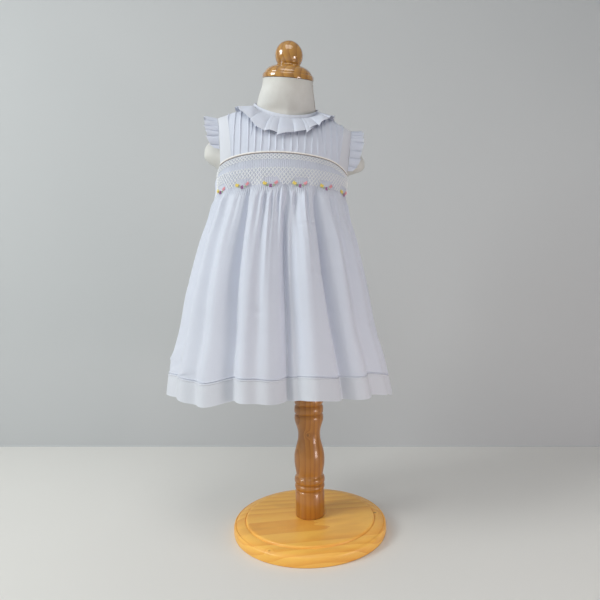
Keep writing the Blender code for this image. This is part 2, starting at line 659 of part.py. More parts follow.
def build_form(linen):
    """The torso with its neck and short shoulder caps, one smooth closed solid."""
    sizes = {name: column(FORM_SECTIONS, FORM_COLUMNS, name)[::-1, None]
             for name in FORM_COLUMNS}
    angle = np.linspace(0, 2 * math.pi, FORM_SEGMENTS + 1)[:-1][None]
    height = np.broadcast_to(sizes["height"], (len(FORM_SECTIONS), FORM_SEGMENTS))
    x, y = around(angle, sizes["half_width"], sizes["front"], sizes["back"], sizes["taper"])
    off_side = np.arcsin(np.abs(np.cos(angle)))
    above = height - SHOULDER_CAP_HEIGHT
    half_height = np.where(above > 0, SHOULDER_CAP_ABOVE, SHOULDER_CAP_BELOW)
    off_centre = np.hypot(off_side / SHOULDER_CAP_SPREAD, above / half_height)
    reach = np.where(np.sin(angle) > 0, RIGHT_SHOULDER_REACH, -LEFT_SHOULDER_REACH)
    x = x + reach * np.exp(-off_centre ** 3)
    z = height + y * np.tan(np.radians(sizes["pitch"]))
    rings = settle(np.stack((x, y + sizes["shift"], z), axis=2))
    rings[0] = on_neck_plane(ring(NECK_TOP_RADIUS, FORM_SEGMENTS))
    top = on_neck_plane(np.zeros(3))
    bottom = settle(np.array((0.0, 0.0, FORM_BOTTOM_HEIGHT)))
    rings_solid("form_torso", rings, top, bottom, linen)


def ring(radius, segments):
    """A flat circle of points, in the order that every section of the form has."""
    angle = np.linspace(0, 2 * math.pi, segments + 1)[:-1]
    return np.stack((radius * np.sin(angle), -radius * np.cos(angle), np.zeros(segments)), axis=1)


def on_neck_plane(points):
    """Points given about the neck's sloping top, in place on the settled form."""
    points = np.asarray(points, dtype=float)
    x, y, z = points[..., 0], points[..., 1], points[..., 2]
    y, z = (y * math.cos(NECK_PITCH) - z * math.sin(NECK_PITCH),
            y * math.sin(NECK_PITCH) + z * math.cos(NECK_PITCH))
    x, z = (x * math.cos(NECK_ROLL) + z * math.sin(NECK_ROLL),
            -x * math.sin(NECK_ROLL) + z * math.cos(NECK_ROLL))
    shift = column(FORM_SECTIONS, FORM_COLUMNS, "shift")[-1]
    centre = settle(np.array((0.0, shift, NECK_TOP_HEIGHT)))
    return np.stack((x, y, z), axis=-1) + centre


def build_finial(varnished):
    """The domed neck cap and the ball on it."""
    def place_cap(points):
        return on_neck_plane(points + np.array((0, 0, SEAM_GAP)))

    turned("neck_cap", CAP_PROFILE, TURNED_SEGMENTS, varnished, place_cap)

    stem_angle = math.acos(-math.sqrt(1 - (BALL_NECK_RADIUS / BALL_RADIUS) ** 2))
    bow = np.linspace(0, stem_angle, 14)
    centre = -BALL_RADIUS * math.cos(stem_angle) + 0.0012
    profile = [(BALL_RADIUS * math.sin(a), centre + BALL_RADIUS * math.cos(a)) for a in bow]
    profile[0] = (0.0, centre + BALL_RADIUS)
    profile += [(BALL_NECK_RADIUS + 0.0006, 0.0006), (BALL_NECK_RADIUS + 0.0008, 0.0), (0.0, 0.0)]

    def place_ball(points):
        return on_neck_plane(points + np.array((0, 0, CAP_THICKNESS + 2 * SEAM_GAP)))

    turned("ball_finial", profile, TURNED_SEGMENTS, varnished, place_ball)


def build_stand(pine):
    """The round base and the turned post that stands on it."""
    turned("stand_base", BASE_PROFILE, BASE_SEGMENTS, pine)
    turned("stand_post", tuple((r, z + SEAM_GAP if z < 0.03 else z) for r, z in POST_PROFILE),
           TURNED_SEGMENTS, pine)


def main():
    """Clears the scene and builds every piece."""
    for old in list(bpy.data.objects):
        bpy.data.objects.remove(old, do_unlink=True)
    cloth = finish("white_batiste", (0.86, 0.87, 0.93), 0.85)
    ecru = finish("ecru_cord", (0.80, 0.76, 0.68), 0.8)
    pearl = finish("pearl_button", (0.90, 0.89, 0.86), 0.25)
    linen = finish("cream_form", (0.80, 0.77, 0.69), 0.8)
    pine = finish("varnished_pine", (0.72, 0.42, 0.15), 0.35)
    varnished = finish("dark_varnish", (0.50, 0.21, 0.05), 0.25)
    build_stand(pine)
    build_form(linen)
    build_finial(varnished)
    build_skirts(cloth)
    build_yokes(cloth)
    build_piping(ecru)
    build_neck(cloth)
    build_armhole_frills(cloth)
    build_buttons(pearl)


main()
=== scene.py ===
"""A toddler's smocked dress on a dress form with a turned wooden stand, finished.

Metres, +Z up, the dress's front faces -Y. Every surface is first worked out upright
about its own axis and then settled on the stand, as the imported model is. Angles around
the body run from 0 at the centre front, through +90 at the +X side, to 180 at the back.
"""

import logging
import math
from dataclasses import dataclass
from enum import Enum
from typing import Callable, Sequence

import bpy
import numpy as np
from mathutils import Matrix, Vector

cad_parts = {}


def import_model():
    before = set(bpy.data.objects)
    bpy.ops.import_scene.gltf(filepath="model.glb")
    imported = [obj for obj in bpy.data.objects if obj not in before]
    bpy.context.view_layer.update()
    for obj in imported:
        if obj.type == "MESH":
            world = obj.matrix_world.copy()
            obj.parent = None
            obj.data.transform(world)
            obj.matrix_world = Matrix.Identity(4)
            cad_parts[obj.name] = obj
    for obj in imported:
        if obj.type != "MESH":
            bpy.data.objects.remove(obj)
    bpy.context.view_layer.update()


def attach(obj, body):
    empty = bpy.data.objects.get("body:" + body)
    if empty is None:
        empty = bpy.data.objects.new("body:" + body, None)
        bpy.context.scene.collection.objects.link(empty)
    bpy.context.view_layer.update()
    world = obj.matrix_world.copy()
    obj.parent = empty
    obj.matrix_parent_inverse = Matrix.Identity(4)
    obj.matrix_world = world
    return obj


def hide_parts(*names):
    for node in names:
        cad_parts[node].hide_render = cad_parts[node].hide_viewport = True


LOG = logging.getLogger("dress")
Array = np.ndarray
MM = 0.001
UP = np.array((0.0, 0.0, 1.0))


# ------------------------------------------------------------------ tables and sizes

class Table:
    """Rows of numbers under named columns, read as curves of the first column."""

    def __init__(self, columns: Sequence[str], rows: Sequence[Sequence[float]]) -> None:
        self.columns = tuple(columns)
        self.rows = np.array(rows, dtype=float)

    def column(self, name: str) -> Array:
        """One column as an array."""
        return self.rows[:, self.columns.index(name)]

    def read(self, name: str, at: Array) -> Array:
        """A column read at any values of the first column.

        A cubic through the rows. Its slope at a row is zero where the neighbouring
        slopes differ in sign and their harmonic mean elsewhere, so it never overshoots.

        Args:
            name: the column to read.
            at: values of the first column.
        Returns:
            The values there.
        """
        keys, values = self.rows[:, 0], self.column(name)
        steps = np.diff(keys)
        secants = np.diff(values) / steps
        slopes = np.concatenate(([secants[0]], np.zeros(len(keys) - 2), [secants[-1]]))
        product = secants[:-1] * secants[1:]
        both = product > 0
        slopes[1:-1][both] = 2 * product[both] / (secants[:-1] + secants[1:])[both]
        at = np.clip(at, keys[0], keys[-1])
        cell = np.clip(np.searchsorted(keys, at) - 1, 0, len(steps) - 1)
        t = (at - keys[cell]) / steps[cell]
        return ((1 + 2 * t) * (1 - t) ** 2 * values[cell]
                + t * (1 - t) ** 2 * steps[cell] * slopes[cell]
                + t ** 2 * (3 - 2 * t) * values[cell + 1]
                + t ** 2 * (t - 1) * steps[cell] * slopes[cell + 1])


@dataclass(frozen=True)
class DressSizes:
    """Sizes of the dress's own pieces, as cut and sewn."""

    neck_half_width: float = 0.0495
    neck_front_depth: float = 0.046
    neck_back_depth: float = 0.036
    neck_side_height: float = 0.636
    neck_front_drop: float = 0.030
    neck_back_rise: float = 0.014
    neckband_height: float = 0.0068
    shoulder_tip: tuple = (0.101, 0.0, 0.6145)
    seam_height: float = 0.552
    seam_drop: float = 0.0095
    seam_end: float = math.radians(70.0)
    right_dip: float = 0.0055         # the seam runs lower at the +X armhole
    underarm_height: float = 0.533
    side_seam: float = math.radians(89.75)
    piping_radius: float = 0.0011
    hem_depth: float = 0.030
    gap: float = 0.0004
    wall: float = 0.0012
    section_height: float = 0.510      # where arcs round the chest are measured


@dataclass(frozen=True)
class FormSizes:
    """Sizes of the torso's neck and shoulder caps, and of the finial on it."""

    bottom: float = 0.300
    neck_top: float = 0.6735
    neck_radius: float = 0.0372
    neck_shift: float = -0.020
    neck_pitch: float = math.radians(19.0)
    neck_roll: float = math.radians(2.0)
    cap_height: float = 0.560
    cap_below: float = 0.0160
    cap_above: float = 0.0270
    cap_spread: float = math.radians(20.0)
    left_reach: float = 0.0250
    right_reach: float = 0.0310
    dome_thickness: float = 0.0200
    ball_radius: float = 0.0204
    ball_neck: float = 0.0170


SKIRT_SECTIONS = Table(("height", "half_width", "front", "back"), (
    (0.209, 0.1668, 0.122, 0.119), (0.252, 0.1598, 0.116, 0.113),
    (0.312, 0.1440, 0.106, 0.103), (0.3515, 0.1372, 0.100, 0.097),
    (0.385, 0.1300, 0.094, 0.090), (0.433, 0.1180, 0.084, 0.080),
    (0.475, 0.1040, 0.0740, 0.069), (0.510, 0.0978, 0.0675, 0.062),
    (0.555, 0.1000, 0.0680, 0.061)))

HEM_HEIGHTS = Table(("angle", "height"), (
    (-180, 0.207), (-90, 0.2140), (-65, 0.2165), (-50, 0.2135), (-38, 0.2110),
    (-25, 0.2185), (-12, 0.2170), (0, 0.2160), (13, 0.2185), (28, 0.2130), (45, 0.2140),
    (90, 0.200), (135, 0.203), (180, 0.207)))

SETTLE = Table(("height", "shift", "slope"), (
    (0.20, -0.0405, 0.0), (0.27, -0.0430, 0.0), (0.34, -0.0432, 0.0),
    (0.43, -0.0408, 0.0), (0.485, -0.0388, 0.0), (0.515, -0.0350, 0.0),
    (0.56, -0.0322, 2.6), (0.62, -0.0293, 3.5), (0.72, -0.0236, 3.5)))

NECK_FRILL = Table(("angle", "reach", "lift"), (
    (0, 0.0175, 0.0036), (45, 0.0190, 0.0040), (75, 0.0215, 0.0050),
    (90, 0.0225, 0.0055), (135, 0.0165, 0.0045), (180, 0.0100, 0.0040)))

ARMHOLE_FRILL = Table(("place", "width"), (
    (0.0, 0.0075), (0.06, 0.0155), (0.16, 0.0190), (0.30, 0.0195), (0.50, 0.0178),
    (0.70, 0.0165), (0.88, 0.0125), (1.0, 0.0055)))

FORM_SECTIONS = Table(("height", "half_width", "front", "back", "taper", "shift", "pitch"), (
    (0.3000, 0.0840, 0.0570, 0.0550, 1.00, 0.0000, 0.0),
    (0.3025, 0.0890, 0.0610, 0.0590, 1.00, 0.0000, 0.0),
    (0.3100, 0.0930, 0.0640, 0.0620, 1.00, 0.0000, 0.0),
    (0.3450, 0.0965, 0.0670, 0.0655, 1.00, 0.0000, 0.0),
    (0.3850, 0.0945, 0.0670, 0.0630, 1.00, 0.0000, 0.0),
    (0.4350, 0.0895, 0.0640, 0.0575, 1.00, 0.0000, 0.0),
    (0.4850, 0.0895, 0.0615, 0.0550, 1.00, 0.0000, 0.0),
    (0.5200, 0.0915, 0.0610, 0.0550, 1.00, 0.0000, 0.0),
    (0.5320, 0.0920, 0.0605, 0.0548, 1.00, 0.0000, 0.0),
    (0.5400, 0.0925, 0.0602, 0.0546, 1.00, 0.0000, 0.0),
    (0.5480, 0.0930, 0.0597, 0.0544, 1.00, 0.0000, 0.0),
    (0.5580, 0.0935, 0.0582, 0.0540, 1.00, 0.0000, 0.0),
    (0.5680, 0.0935, 0.0561, 0.0533, 1.00, 0.0000, 0.0),
    (0.5770, 0.0930, 0.0540, 0.0523, 1.01, 0.0000, 0.0),
    (0.5870, 0.0915, 0.0512, 0.0508, 1.04, 0.0000, 0.0),
    (0.5980, 0.0870, 0.0460, 0.0480, 1.12, -0.0005, 0.0),
    (0.6085, 0.0785, 0.0395, 0.0425, 1.28, -0.0010, 1.5),
    (0.6180, 0.0635, 0.0360, 0.0385, 1.42, -0.0028, 4.0),
    (0.6270, 0.0505, 0.0350, 0.0365, 1.35, -0.0045, 8.0),
    (0.6370, 0.0446, 0.0350, 0.0365, 1.15, -0.0072, 13.0),
    (0.6480, 0.0420, 0.0355, 0.0360, 1.06, -0.0110, 16.5),
    (0.6600, 0.0392, 0.0362, 0.0366, 1.00, -0.0150, 19.0),
    (0.6735, 0.0372, 0.0372, 0.0372, 1.00, -0.0200, 19.0)))

# Main folds: where each starts below the gathers and ends at the hem, its half width
# there in degrees, and how far it stands out (+) or in (-).
FOLD_COLUMNS = ("top", "hem", "spread", "depth")
FRONT_FOLDS = Table(FOLD_COLUMNS, (
    (-78, -79, 5.0, 0.0020), (-66, -66, 6.0, -0.0035), (-58, -56, 6.0, 0.0045),
    (-50, -46, 4.0, -0.0030), (-42, -38, 5.6, 0.0070), (-31, -26, 3.8, -0.0095),
    (-22, -18, 5.4, 0.0078), (-11, -8, 4.2, 0.0046), (1.5, 1, 3.3, -0.0140),
    (7, 6, 2.6, -0.0070), (14, 13, 5.0, 0.0062), (20, 20, 5.0, 0.0040),
    (26, 30, 3.3, -0.0118), (37, 39, 5.6, 0.0078), (47, 49, 4.4, -0.0040),
    (57, 58, 6.0, 0.0050), (67, 68, 6.0, -0.0035), (79, 79, 5.0, 0.0020)))
BACK_FOLDS = Table(FOLD_COLUMNS, (
    (101, 101, 5.0, 0.0020), (112, 110, 6.0, -0.0050), (121, 121, 6.0, 0.0060),
    (131, 132, 4.0, -0.0085), (141, 143, 5.4, 0.0075), (152, 154, 4.0, -0.0075),
    (161, 163, 5.4, 0.0080), (172, 173, 3.8, -0.0115), (184, 183, 6.0, 0.0085),
    (195, 194, 4.2, -0.0075), (205, 205, 5.4, 0.0070), (216, 217, 4.2, -0.0090),
    (228, 228, 6.0, 0.0070), (240, 241, 6.0, -0.0050), (254, 254, 5.0, 0.0020)))

# Small creases left by folding: middle of each on the skirt as arc and height, half
# length, half width, turn from level in degrees, and depth.
CREASES = Table(("arc", "height", "length", "width", "turn", "depth"), (
    (-0.029, 0.335, 0.014, 0.0016, -4, -0.0010), (0.031, 0.452, 0.014, 0.0015, 3, -0.0008),
    (0.036, 0.385, 0.020, 0.0015, 2, -0.0009), (-0.105, 0.372, 0.016, 0.0018, -6, -0.0010),
    (-0.120, 0.268, 0.024, 0.0026, 42, 0.0013), (-0.104, 0.262, 0.020, 0.0022, 36, -0.0012),
    (-0.086, 0.252, 0.018, 0.0022, 30, 0.0010), (0.105, 0.300, 0.022, 0.0022, -38, -0.0009),
    (0.010, 0.300, 0.012, 0.0015, 0, -0.0006), (-0.060, 0.430, 0.012, 0.0016, 12, -0.0007)))

PROFILE = ("radius", "height")
BASE_PROFILE = Table(PROFILE, (
    (0.0000, 0.0198), (0.0500, 0.0198), (0.0915, 0.0198), (0.0950, 0.0197), (0.0962, 0.0193),
    (0.0969, 0.0184), (0.0972, 0.0170), (0.0976, 0.0163), (0.0981, 0.0164), (0.0984, 0.0171),
    (0.1000, 0.0172), (0.1106, 0.0148), (0.1111, 0.0141), (0.1116, 0.0137), (0.1121, 0.0140),
    (0.1126, 0.0143), (0.1136, 0.0138), (0.1144, 0.0126), (0.1148, 0.0108), (0.1150, 0.0080),
    (0.1149, 0.0030), (0.1143, 0.0006), (0.1133, 0.0000), (0.0550, 0.0000), (0.0000, 0.0000)))
POST_PROFILE = Table(PROFILE, (
    (0.0000, 0.2995), (0.0158, 0.2995), (0.0165, 0.2985), (0.0165, 0.2045), (0.0172, 0.2030),
    (0.0205, 0.2003), (0.0217, 0.1985), (0.0221, 0.1945), (0.0217, 0.1905), (0.0205, 0.1889),
    (0.0200, 0.1880), (0.0205, 0.1871), (0.0218, 0.1857), (0.0222, 0.1810), (0.0218, 0.1764),
    (0.0206, 0.1752), (0.0201, 0.1744), (0.0206, 0.1736), (0.0217, 0.1722), (0.0221, 0.1682),
    (0.0217, 0.1640), (0.0205, 0.1598), (0.0190, 0.1555), (0.0176, 0.1505), (0.0169, 0.1455),
    (0.0168, 0.1415), (0.0171, 0.1370), (0.0180, 0.1322), (0.0194, 0.1272), (0.0208, 0.1222),
    (0.0221, 0.1165), (0.0229, 0.1115), (0.0231, 0.1060), (0.0229, 0.1000), (0.0223, 0.0945),
    (0.0214, 0.0890), (0.0205, 0.0840), (0.0200, 0.0812), (0.0206, 0.0800), (0.0221, 0.0789),
    (0.0228, 0.0768), (0.0230, 0.0742), (0.0227, 0.0714), (0.0217, 0.0697), (0.0207, 0.0688),
    (0.0214, 0.0680), (0.0224, 0.0668), (0.0226, 0.0646), (0.0223, 0.0624), (0.0213, 0.0608),
    (0.0206, 0.0597), (0.0212, 0.0584), (0.0221, 0.0568), (0.0221, 0.0212), (0.0217, 0.0204),
    (0.0000, 0.0204)))
DOME_PROFILE = Table(PROFILE, (
    (0.0000, 0.0200), (0.0155, 0.0200), (0.0170, 0.0199), (0.0195, 0.0192), (0.0240, 0.0177),
    (0.0290, 0.0152), (0.0322, 0.0126), (0.0338, 0.0106), (0.0348, 0.0090), (0.0352, 0.0080),
    (0.0353, 0.0073), (0.0367, 0.0070), (0.0375, 0.0060), (0.0380, 0.0038), (0.0381, 0.0016),
    (0.0379, 0.0005), (0.0370, 0.0000), (0.0000, 0.0000)))


def ease(at: Array, low: float, high: float) -> Array:
    """0 below low, 1 above high, and a smooth step between them."""
    t = np.clip((at - low) / (high - low), 0, 1)
    return t * t * (3 - 2 * t)


def bump(off: Array, width: float) -> Array:
    """A soft ridge of height 1 at off = 0 and about that half width."""
    return np.exp(-(off / width) ** 2)


def outward(angle: Array) -> Array:
    """The level direction out of the body at each angle."""
    return np.stack((np.sin(angle), -np.cos(angle), np.zeros_like(angle)), axis=-1)


def shade(colour: tuple, share: float) -> tuple:
    """A colour made darker by one share all over."""
    return tuple(part * share for part in colour)


# ------------------------------------------------------------------- dress geometry

class DressShape:
    """Where the dress's surfaces lie, upright about the form's own axis."""

    def __init__(self, sizes: DressSizes) -> None:
        self.sizes = sizes
        turn = np.linspace(-math.pi, math.pi, 1441)
        x, y = self.section(turn, np.full_like(turn, sizes.section_height))
        run = np.concatenate(([0], np.cumsum(np.hypot(np.diff(x), np.diff(y)))))
        self.turn, self.arc = turn, run - np.interp(0, turn, run)

    @staticmethod
    def settle(points: Array) -> Array:
        """Moves upright points to where dress and form sit on the stand."""
        points = np.asarray(points, dtype=float)
        height = points[..., 2]
        settled = points.copy()
        settled[..., 0] += SETTLE.read("shift", height)
        settled[..., 2] -= points[..., 0] * np.tan(np.radians(SETTLE.read("slope", height)))
        return settled

    @staticmethod
    def oval(angle: Array, half_width: Array, front: Array, back: Array,
             taper: Array = 1.0) -> tuple[Array, Array]:
        """Points of an oval whose front and back halves differ in depth."""
        sine, cosine = np.sin(angle), np.cos(angle)
        depth = np.where(cosine > 0, front, back)
        return (half_width * np.sign(sine) * np.abs(sine) ** taper,
                -depth * np.sign(cosine) * np.abs(cosine) ** taper)

    def section(self, angle: Array, height: Array) -> tuple[Array, Array]:
        """The skirt's oval at a height, before its folds."""
        return self.oval(angle, *(SKIRT_SECTIONS.read(name, height)
                                  for name in ("half_width", "front", "back")))

    def angle_at(self, arc: Array) -> Array:
        """The angle that lies an arc length round the chest from the centre front."""
        return np.interp(arc, self.arc, self.turn)

    def seam_height(self, angle: Array) -> Array:
        """Height of the seam between yoke and skirt, lower towards the sides."""
        sizes = self.sizes
        off = np.minimum(np.abs(angle), math.pi - np.abs(angle)) / sizes.seam_end
        dip = sizes.right_dip * ease(angle, 0.5 * sizes.seam_end, 1.05 * sizes.seam_end)
        return sizes.seam_height - sizes.seam_drop * np.minimum(off, 1.0) ** 2 - dip

    def skirt_top(self, angle: Array, piped: bool = True) -> Array:
        """Top edge of the skirt: the yoke seam, then the underarm dip.

        Args:
            angle: turn round the dress.
            piped: room is left for the piping cord; without it the edge meets the yoke.
        Returns:
            The height of the edge at each angle.
        """
        sizes = self.sizes
        turned = np.minimum(np.abs(angle), math.pi - np.abs(angle))
        dip = ease(turned, sizes.seam_end, math.pi / 2)
        room = sizes.piping_radius + sizes.gap
        seam = self.seam_height(angle) + (-room if piped else room - 0.3 * MM)
        return seam + dip * (sizes.underarm_height - seam)

    def neckline(self, angle: Array) -> Array:
        """The neckline seam, lower in front and a little higher at the back."""
        sizes = self.sizes
        x, y = self.oval(angle, sizes.neck_half_width, sizes.neck_front_depth,
                         sizes.neck_back_depth)
        cosine = np.cos(angle)
        height = (sizes.neck_side_height - sizes.neck_front_drop * np.maximum(cosine, 0) ** 1.2
                  + sizes.neck_back_rise * np.maximum(-cosine, 0))
        return np.stack((x, y, height), axis=-1)

    def yoke(self, side: int, across: int, over: int, rows: int) -> Array:
        """Outer points of the front (side -1) or back (side +1) yoke, top to bottom.

        Each column is an arc of a parabola that leaves the yoke seam nearly upright
        and leans in to the neckline or the shoulder seam.

        Args:
            side: -1 for the front, +1 for the back.
            across: columns along the neckline.
            over: columns along each shoulder.
            rows: steps from top to bottom.
        Returns:
            A grid whose columns run from -X to +X in front and back again behind.
        """
        sizes = self.sizes
        turn = np.linspace(-math.pi / 2, math.pi / 2, across)
        neck = self.neckline(turn if side < 0 else math.pi - turn)
        neck_end = abs(neck[0, 0])
        share = np.linspace(0, 1, over + 1)[1:]
        tip = np.array(sizes.shoulder_tip)
        corner = np.array((neck_end, 0.0, sizes.neck_side_height))
        shoulder = corner + share[:, None] * (tip - corner)
        top = np.concatenate((shoulder[::-1] * np.array((-1, 1, 1)), neck, shoulder))
        top[:, 1] += side * (sizes.gap + 0.8 * sizes.wall)
        top[:, 2] -= 0.0010

        half_width, _ = self.section(np.float64(math.pi / 2), np.float64(sizes.seam_height))
        reach = half_width * math.sin(sizes.seam_end)
        outside = np.clip((np.abs(top[:, 0]) - neck_end) / (tip[0] - neck_end), 0, 1)
        foot_x = np.where(outside > 0, neck_end + outside * (reach - neck_end), np.abs(top[:, 0]))
        foot_turn = np.arcsin(foot_x / half_width) * np.sign(top[:, 0])
        seam = self.seam_height(foot_turn)
        x, y = self.section(foot_turn if side < 0 else math.pi - foot_turn, seam)
        foot = np.stack((x, y, seam + sizes.piping_radius + sizes.gap), axis=1)

        depth = sizes.neck_front_depth if side < 0 else sizes.neck_back_depth
        rise = 0.85 - 0.23 * np.abs(top[:, 1]) / depth
        middle = foot + (top - foot) * np.stack((np.full_like(rise, 0.35), 0 * rise, rise), axis=1)
        middle[:, 1] = foot[:, 1] * (0.97 + 0.5 * outside ** 2)
        t = np.linspace(1, 0, rows + 1)[:, None, None]
        grid = (1 - t) ** 2 * foot + 2 * t * (1 - t) * middle + t ** 2 * top
        return grid if side < 0 else grid[:, ::-1]

    def back_yoke(self) -> Array:
        """Outer points of the whole back yoke, before it is parted at the lap."""
        return self.yoke(1, 91, 36, 30)

    @staticmethod
    def column(grid: Array, x: float) -> Array:
        """The column of a back grid at one x, whose columns run from +X to -X."""
        return np.array([[np.interp(-x, -row[:, 0], row[:, axis]) for axis in range(3)]
                         for row in grid])

    def yoke_height(self, x: Array, y: Array) -> Array:
        """Height of the yokes' outer surface over points of the shoulders."""
        height = np.empty_like(x)
        for side in (-1, 1):
            grid = self.yoke(side, 41, 14, 16)[:, ::-side]
            rows_y = np.array([np.interp(x, row[:, 0], row[:, 1]) for row in grid]) * side
            rows_z = np.array([np.interp(x, row[:, 0], row[:, 2]) for row in grid])
            for index in np.flatnonzero(y * side >= 0):
                height[index] = np.interp(abs(y[index]), rows_y[:, index], rows_z[:, index])
        return height

    def off_yokes(self, x: Array, y: Array, distance: Array) -> Array:
        """Points over the shoulders, moved off the yokes along their normals."""
        nudge = 0.002
        slope_x = self.yoke_height(x + nudge, y) - self.yoke_height(x - nudge, y)
        slope_y = self.yoke_height(x, y + nudge) - self.yoke_height(x, y - nudge)
        normal = np.stack((-slope_x / (2 * nudge), -slope_y / (2 * nudge), np.ones_like(x)), axis=1)
        normal /= np.linalg.norm(normal, axis=1, keepdims=True)
        return np.stack((x, y, self.yoke_height(x, y)), axis=1) + normal * distance[:, None]

    def armhole(self, share: Array, side: float) -> Array:
        """The armhole's edge from front (0) over the shoulder tip (0.5) to back (1)."""
        front = self.yoke(-1, 13, 5, 6)[::-1, -1 if side > 0 else 0]
        back = self.yoke(1, 13, 5, 6)[:, 0 if side > 0 else -1]
        edge = np.concatenate((front, back))
        place = np.concatenate((np.linspace(0, 0.5, len(front)), np.linspace(0.5, 1, len(back))))
        place[len(front)] += 1e-6
        return np.stack([np.interp(share, place, edge[:, axis]) for axis in range(3)], axis=-1)


# --------------------------------------------------------------------- mesh making

class MeshMaker:
    """Turns grids, rings and paths into finished objects that ride on the part."""

    CLOTH = ("white_batiste", "batiste")     # finish and slot of every cloth piece

    def __init__(self, finishes: dict[str, bpy.types.Material]) -> None:
        self.finishes = finishes

    def add(self, name: str, vertices: Array, faces: Array, finish: str, slot: str,
            stands_for: Sequence[str] = (), uv: Array | None = None,
            dense: Array | None = None, sharp: float = 60.0) -> bpy.types.Object:
        """Makes one smooth-shaded piece.

        Args:
            name: the piece's name.
            vertices: points, one row each.
            faces: corner indices, one row for each face.
            finish: the name of its material.
            slot: the record's material slot it stands for; not used.
            stands_for: CAD nodes that it replaces.
            uv: a place on the cloth for each point, in metres.
            dense: how many layers of cloth lie at each point, 0 for one and 1 for more.
            sharp: the angle in degrees over which an edge stays sharp.
        Returns:
            The object.
        """
        mesh = bpy.data.meshes.new(name)
        mesh.from_pydata(np.asarray(vertices).tolist(), [],
                         faces.tolist() if isinstance(faces, np.ndarray) else faces)
        mesh.materials.append(self.finishes[finish])
        mesh.shade_smooth()
        mesh.set_sharp_from_angle(angle=math.radians(sharp))
        if uv is not None:
            layer = mesh.uv_layers.new(name="cloth")
            corner = np.empty(len(mesh.loops), dtype=np.int32)
            mesh.loops.foreach_get("vertex_index", corner)
            layer.data.foreach_set("uv", uv.reshape(-1, 2)[corner].astype(np.float32).ravel())
        if dense is not None:
            attribute = mesh.attributes.new("dense", "FLOAT", "POINT")
            attribute.data.foreach_set("value", dense.astype(np.float32).ravel())
        made = bpy.data.objects.new(name, mesh)
        bpy.context.scene.collection.objects.link(made)
        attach(made, "root")
        if stands_for:
            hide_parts(*stands_for)
        return made

    @staticmethod
    def quads(rows: int, columns: int, closed: bool, start: int = 0, flip: bool = False) -> Array:
        """Faces of a grid whose rows run down and columns run round."""
        row, col = np.meshgrid(np.arange(rows - 1), np.arange(columns if closed else columns - 1),
                               indexing="ij")
        right = (col + 1) % columns
        corners = np.stack((row * columns + col, (row + 1) * columns + col,
                            (row + 1) * columns + right, row * columns + right), axis=-1)
        corners = corners.reshape(-1, 4) + start
        return corners[:, ::-1] if flip else corners

    @staticmethod
    def spread(grid: Array) -> Array:
        """Where each grid point lies on its flat cloth: metres across and down."""
        across = np.linalg.norm(np.diff(grid, axis=1), axis=2)
        down = np.linalg.norm(np.diff(grid, axis=0), axis=2)
        u = np.concatenate((np.zeros((1,)), np.cumsum(across.mean(axis=0))))
        v = np.concatenate((np.zeros((1,)), np.cumsum(down.mean(axis=1))))
        return np.stack(np.meshgrid(u, v), axis=-1)

    @staticmethod
    def normals(grid: Array, closed: bool) -> Array:
        """Outward unit normals of a grid whose rows run down and columns run round."""
        if closed:
            across = np.roll(grid, -1, axis=1) - np.roll(grid, 1, axis=1)
        else:
            across = np.gradient(grid, axis=1)
        normals = np.cross(np.gradient(grid, axis=0), across)
        return normals / np.maximum(np.linalg.norm(normals, axis=2, keepdims=True), 1e-12)

    def sheet(self, name: str, grid: Array, stands_for: Sequence[str],
              dense: Array) -> bpy.types.Object:
        """One layer of cloth from a settled grid."""
        rows, columns = grid.shape[:2]
        return self.add(name, grid.reshape(-1, 3), self.quads(rows, columns, False), *self.CLOTH,
                        stands_for, self.spread(grid), dense)

    def wall(self, name: str, outer: Array, thickness: float, stands_for: Sequence[str],
             dense: Array, closed: bool = False) -> bpy.types.Object:
        """A closed cloth wall: the grid, the same moved in, and the rims between them."""
        rows, columns = outer.shape[:2]
        inner = outer - self.normals(outer, closed) * thickness
        count = rows * columns
        index = np.arange(count).reshape(rows, columns)
        faces = [self.quads(rows, columns, closed), self.quads(rows, columns, closed, count, True)]

        def rim(edge: Array, ring: bool) -> Array:
            nxt = np.roll(edge, -1) if ring else edge[1:]
            cur = edge if ring else edge[:-1]
            return np.stack((cur, nxt, nxt + count, cur + count), axis=-1)

        faces += [rim(index[0], closed), rim(index[-1], closed)[:, ::-1]]
        if not closed:
            faces += [rim(index[:, 0], False)[:, ::-1], rim(index[:, -1], False)]
        uv = self.spread(outer)
        return self.add(name, np.concatenate((outer.reshape(-1, 3), inner.reshape(-1, 3))),
                        np.concatenate(faces), *self.CLOTH, stands_for,
                        np.concatenate((uv.reshape(-1, 2), uv.reshape(-1, 2))),
                        np.concatenate((dense.ravel(), dense.ravel())), 75.0)

    def turned(self, name: str, rings: Array, ends: Array, finish: str, slot: str,
               stands_for: Sequence[str] = (), sharp: float = 50.0) -> bpy.types.Object:
        """A closed solid from rings, top to bottom, ended by a point at each end."""
        rows, columns = rings.shape[:2]
        col = np.arange(columns)
        right = (col + 1) % columns
        count, foot = rows * columns, (rows - 1) * columns
        top = np.stack((np.full(columns, count), col, right), axis=-1)
        bottom = np.stack((np.full(columns, count + 1), foot + right, foot + col), axis=-1)
        faces = self.quads(rows, columns, True).tolist() + top.tolist() + bottom.tolist()
        return self.add(name, np.concatenate((rings.reshape(-1, 3), ends)), faces, finish, slot,
                        stands_for, sharp=sharp)

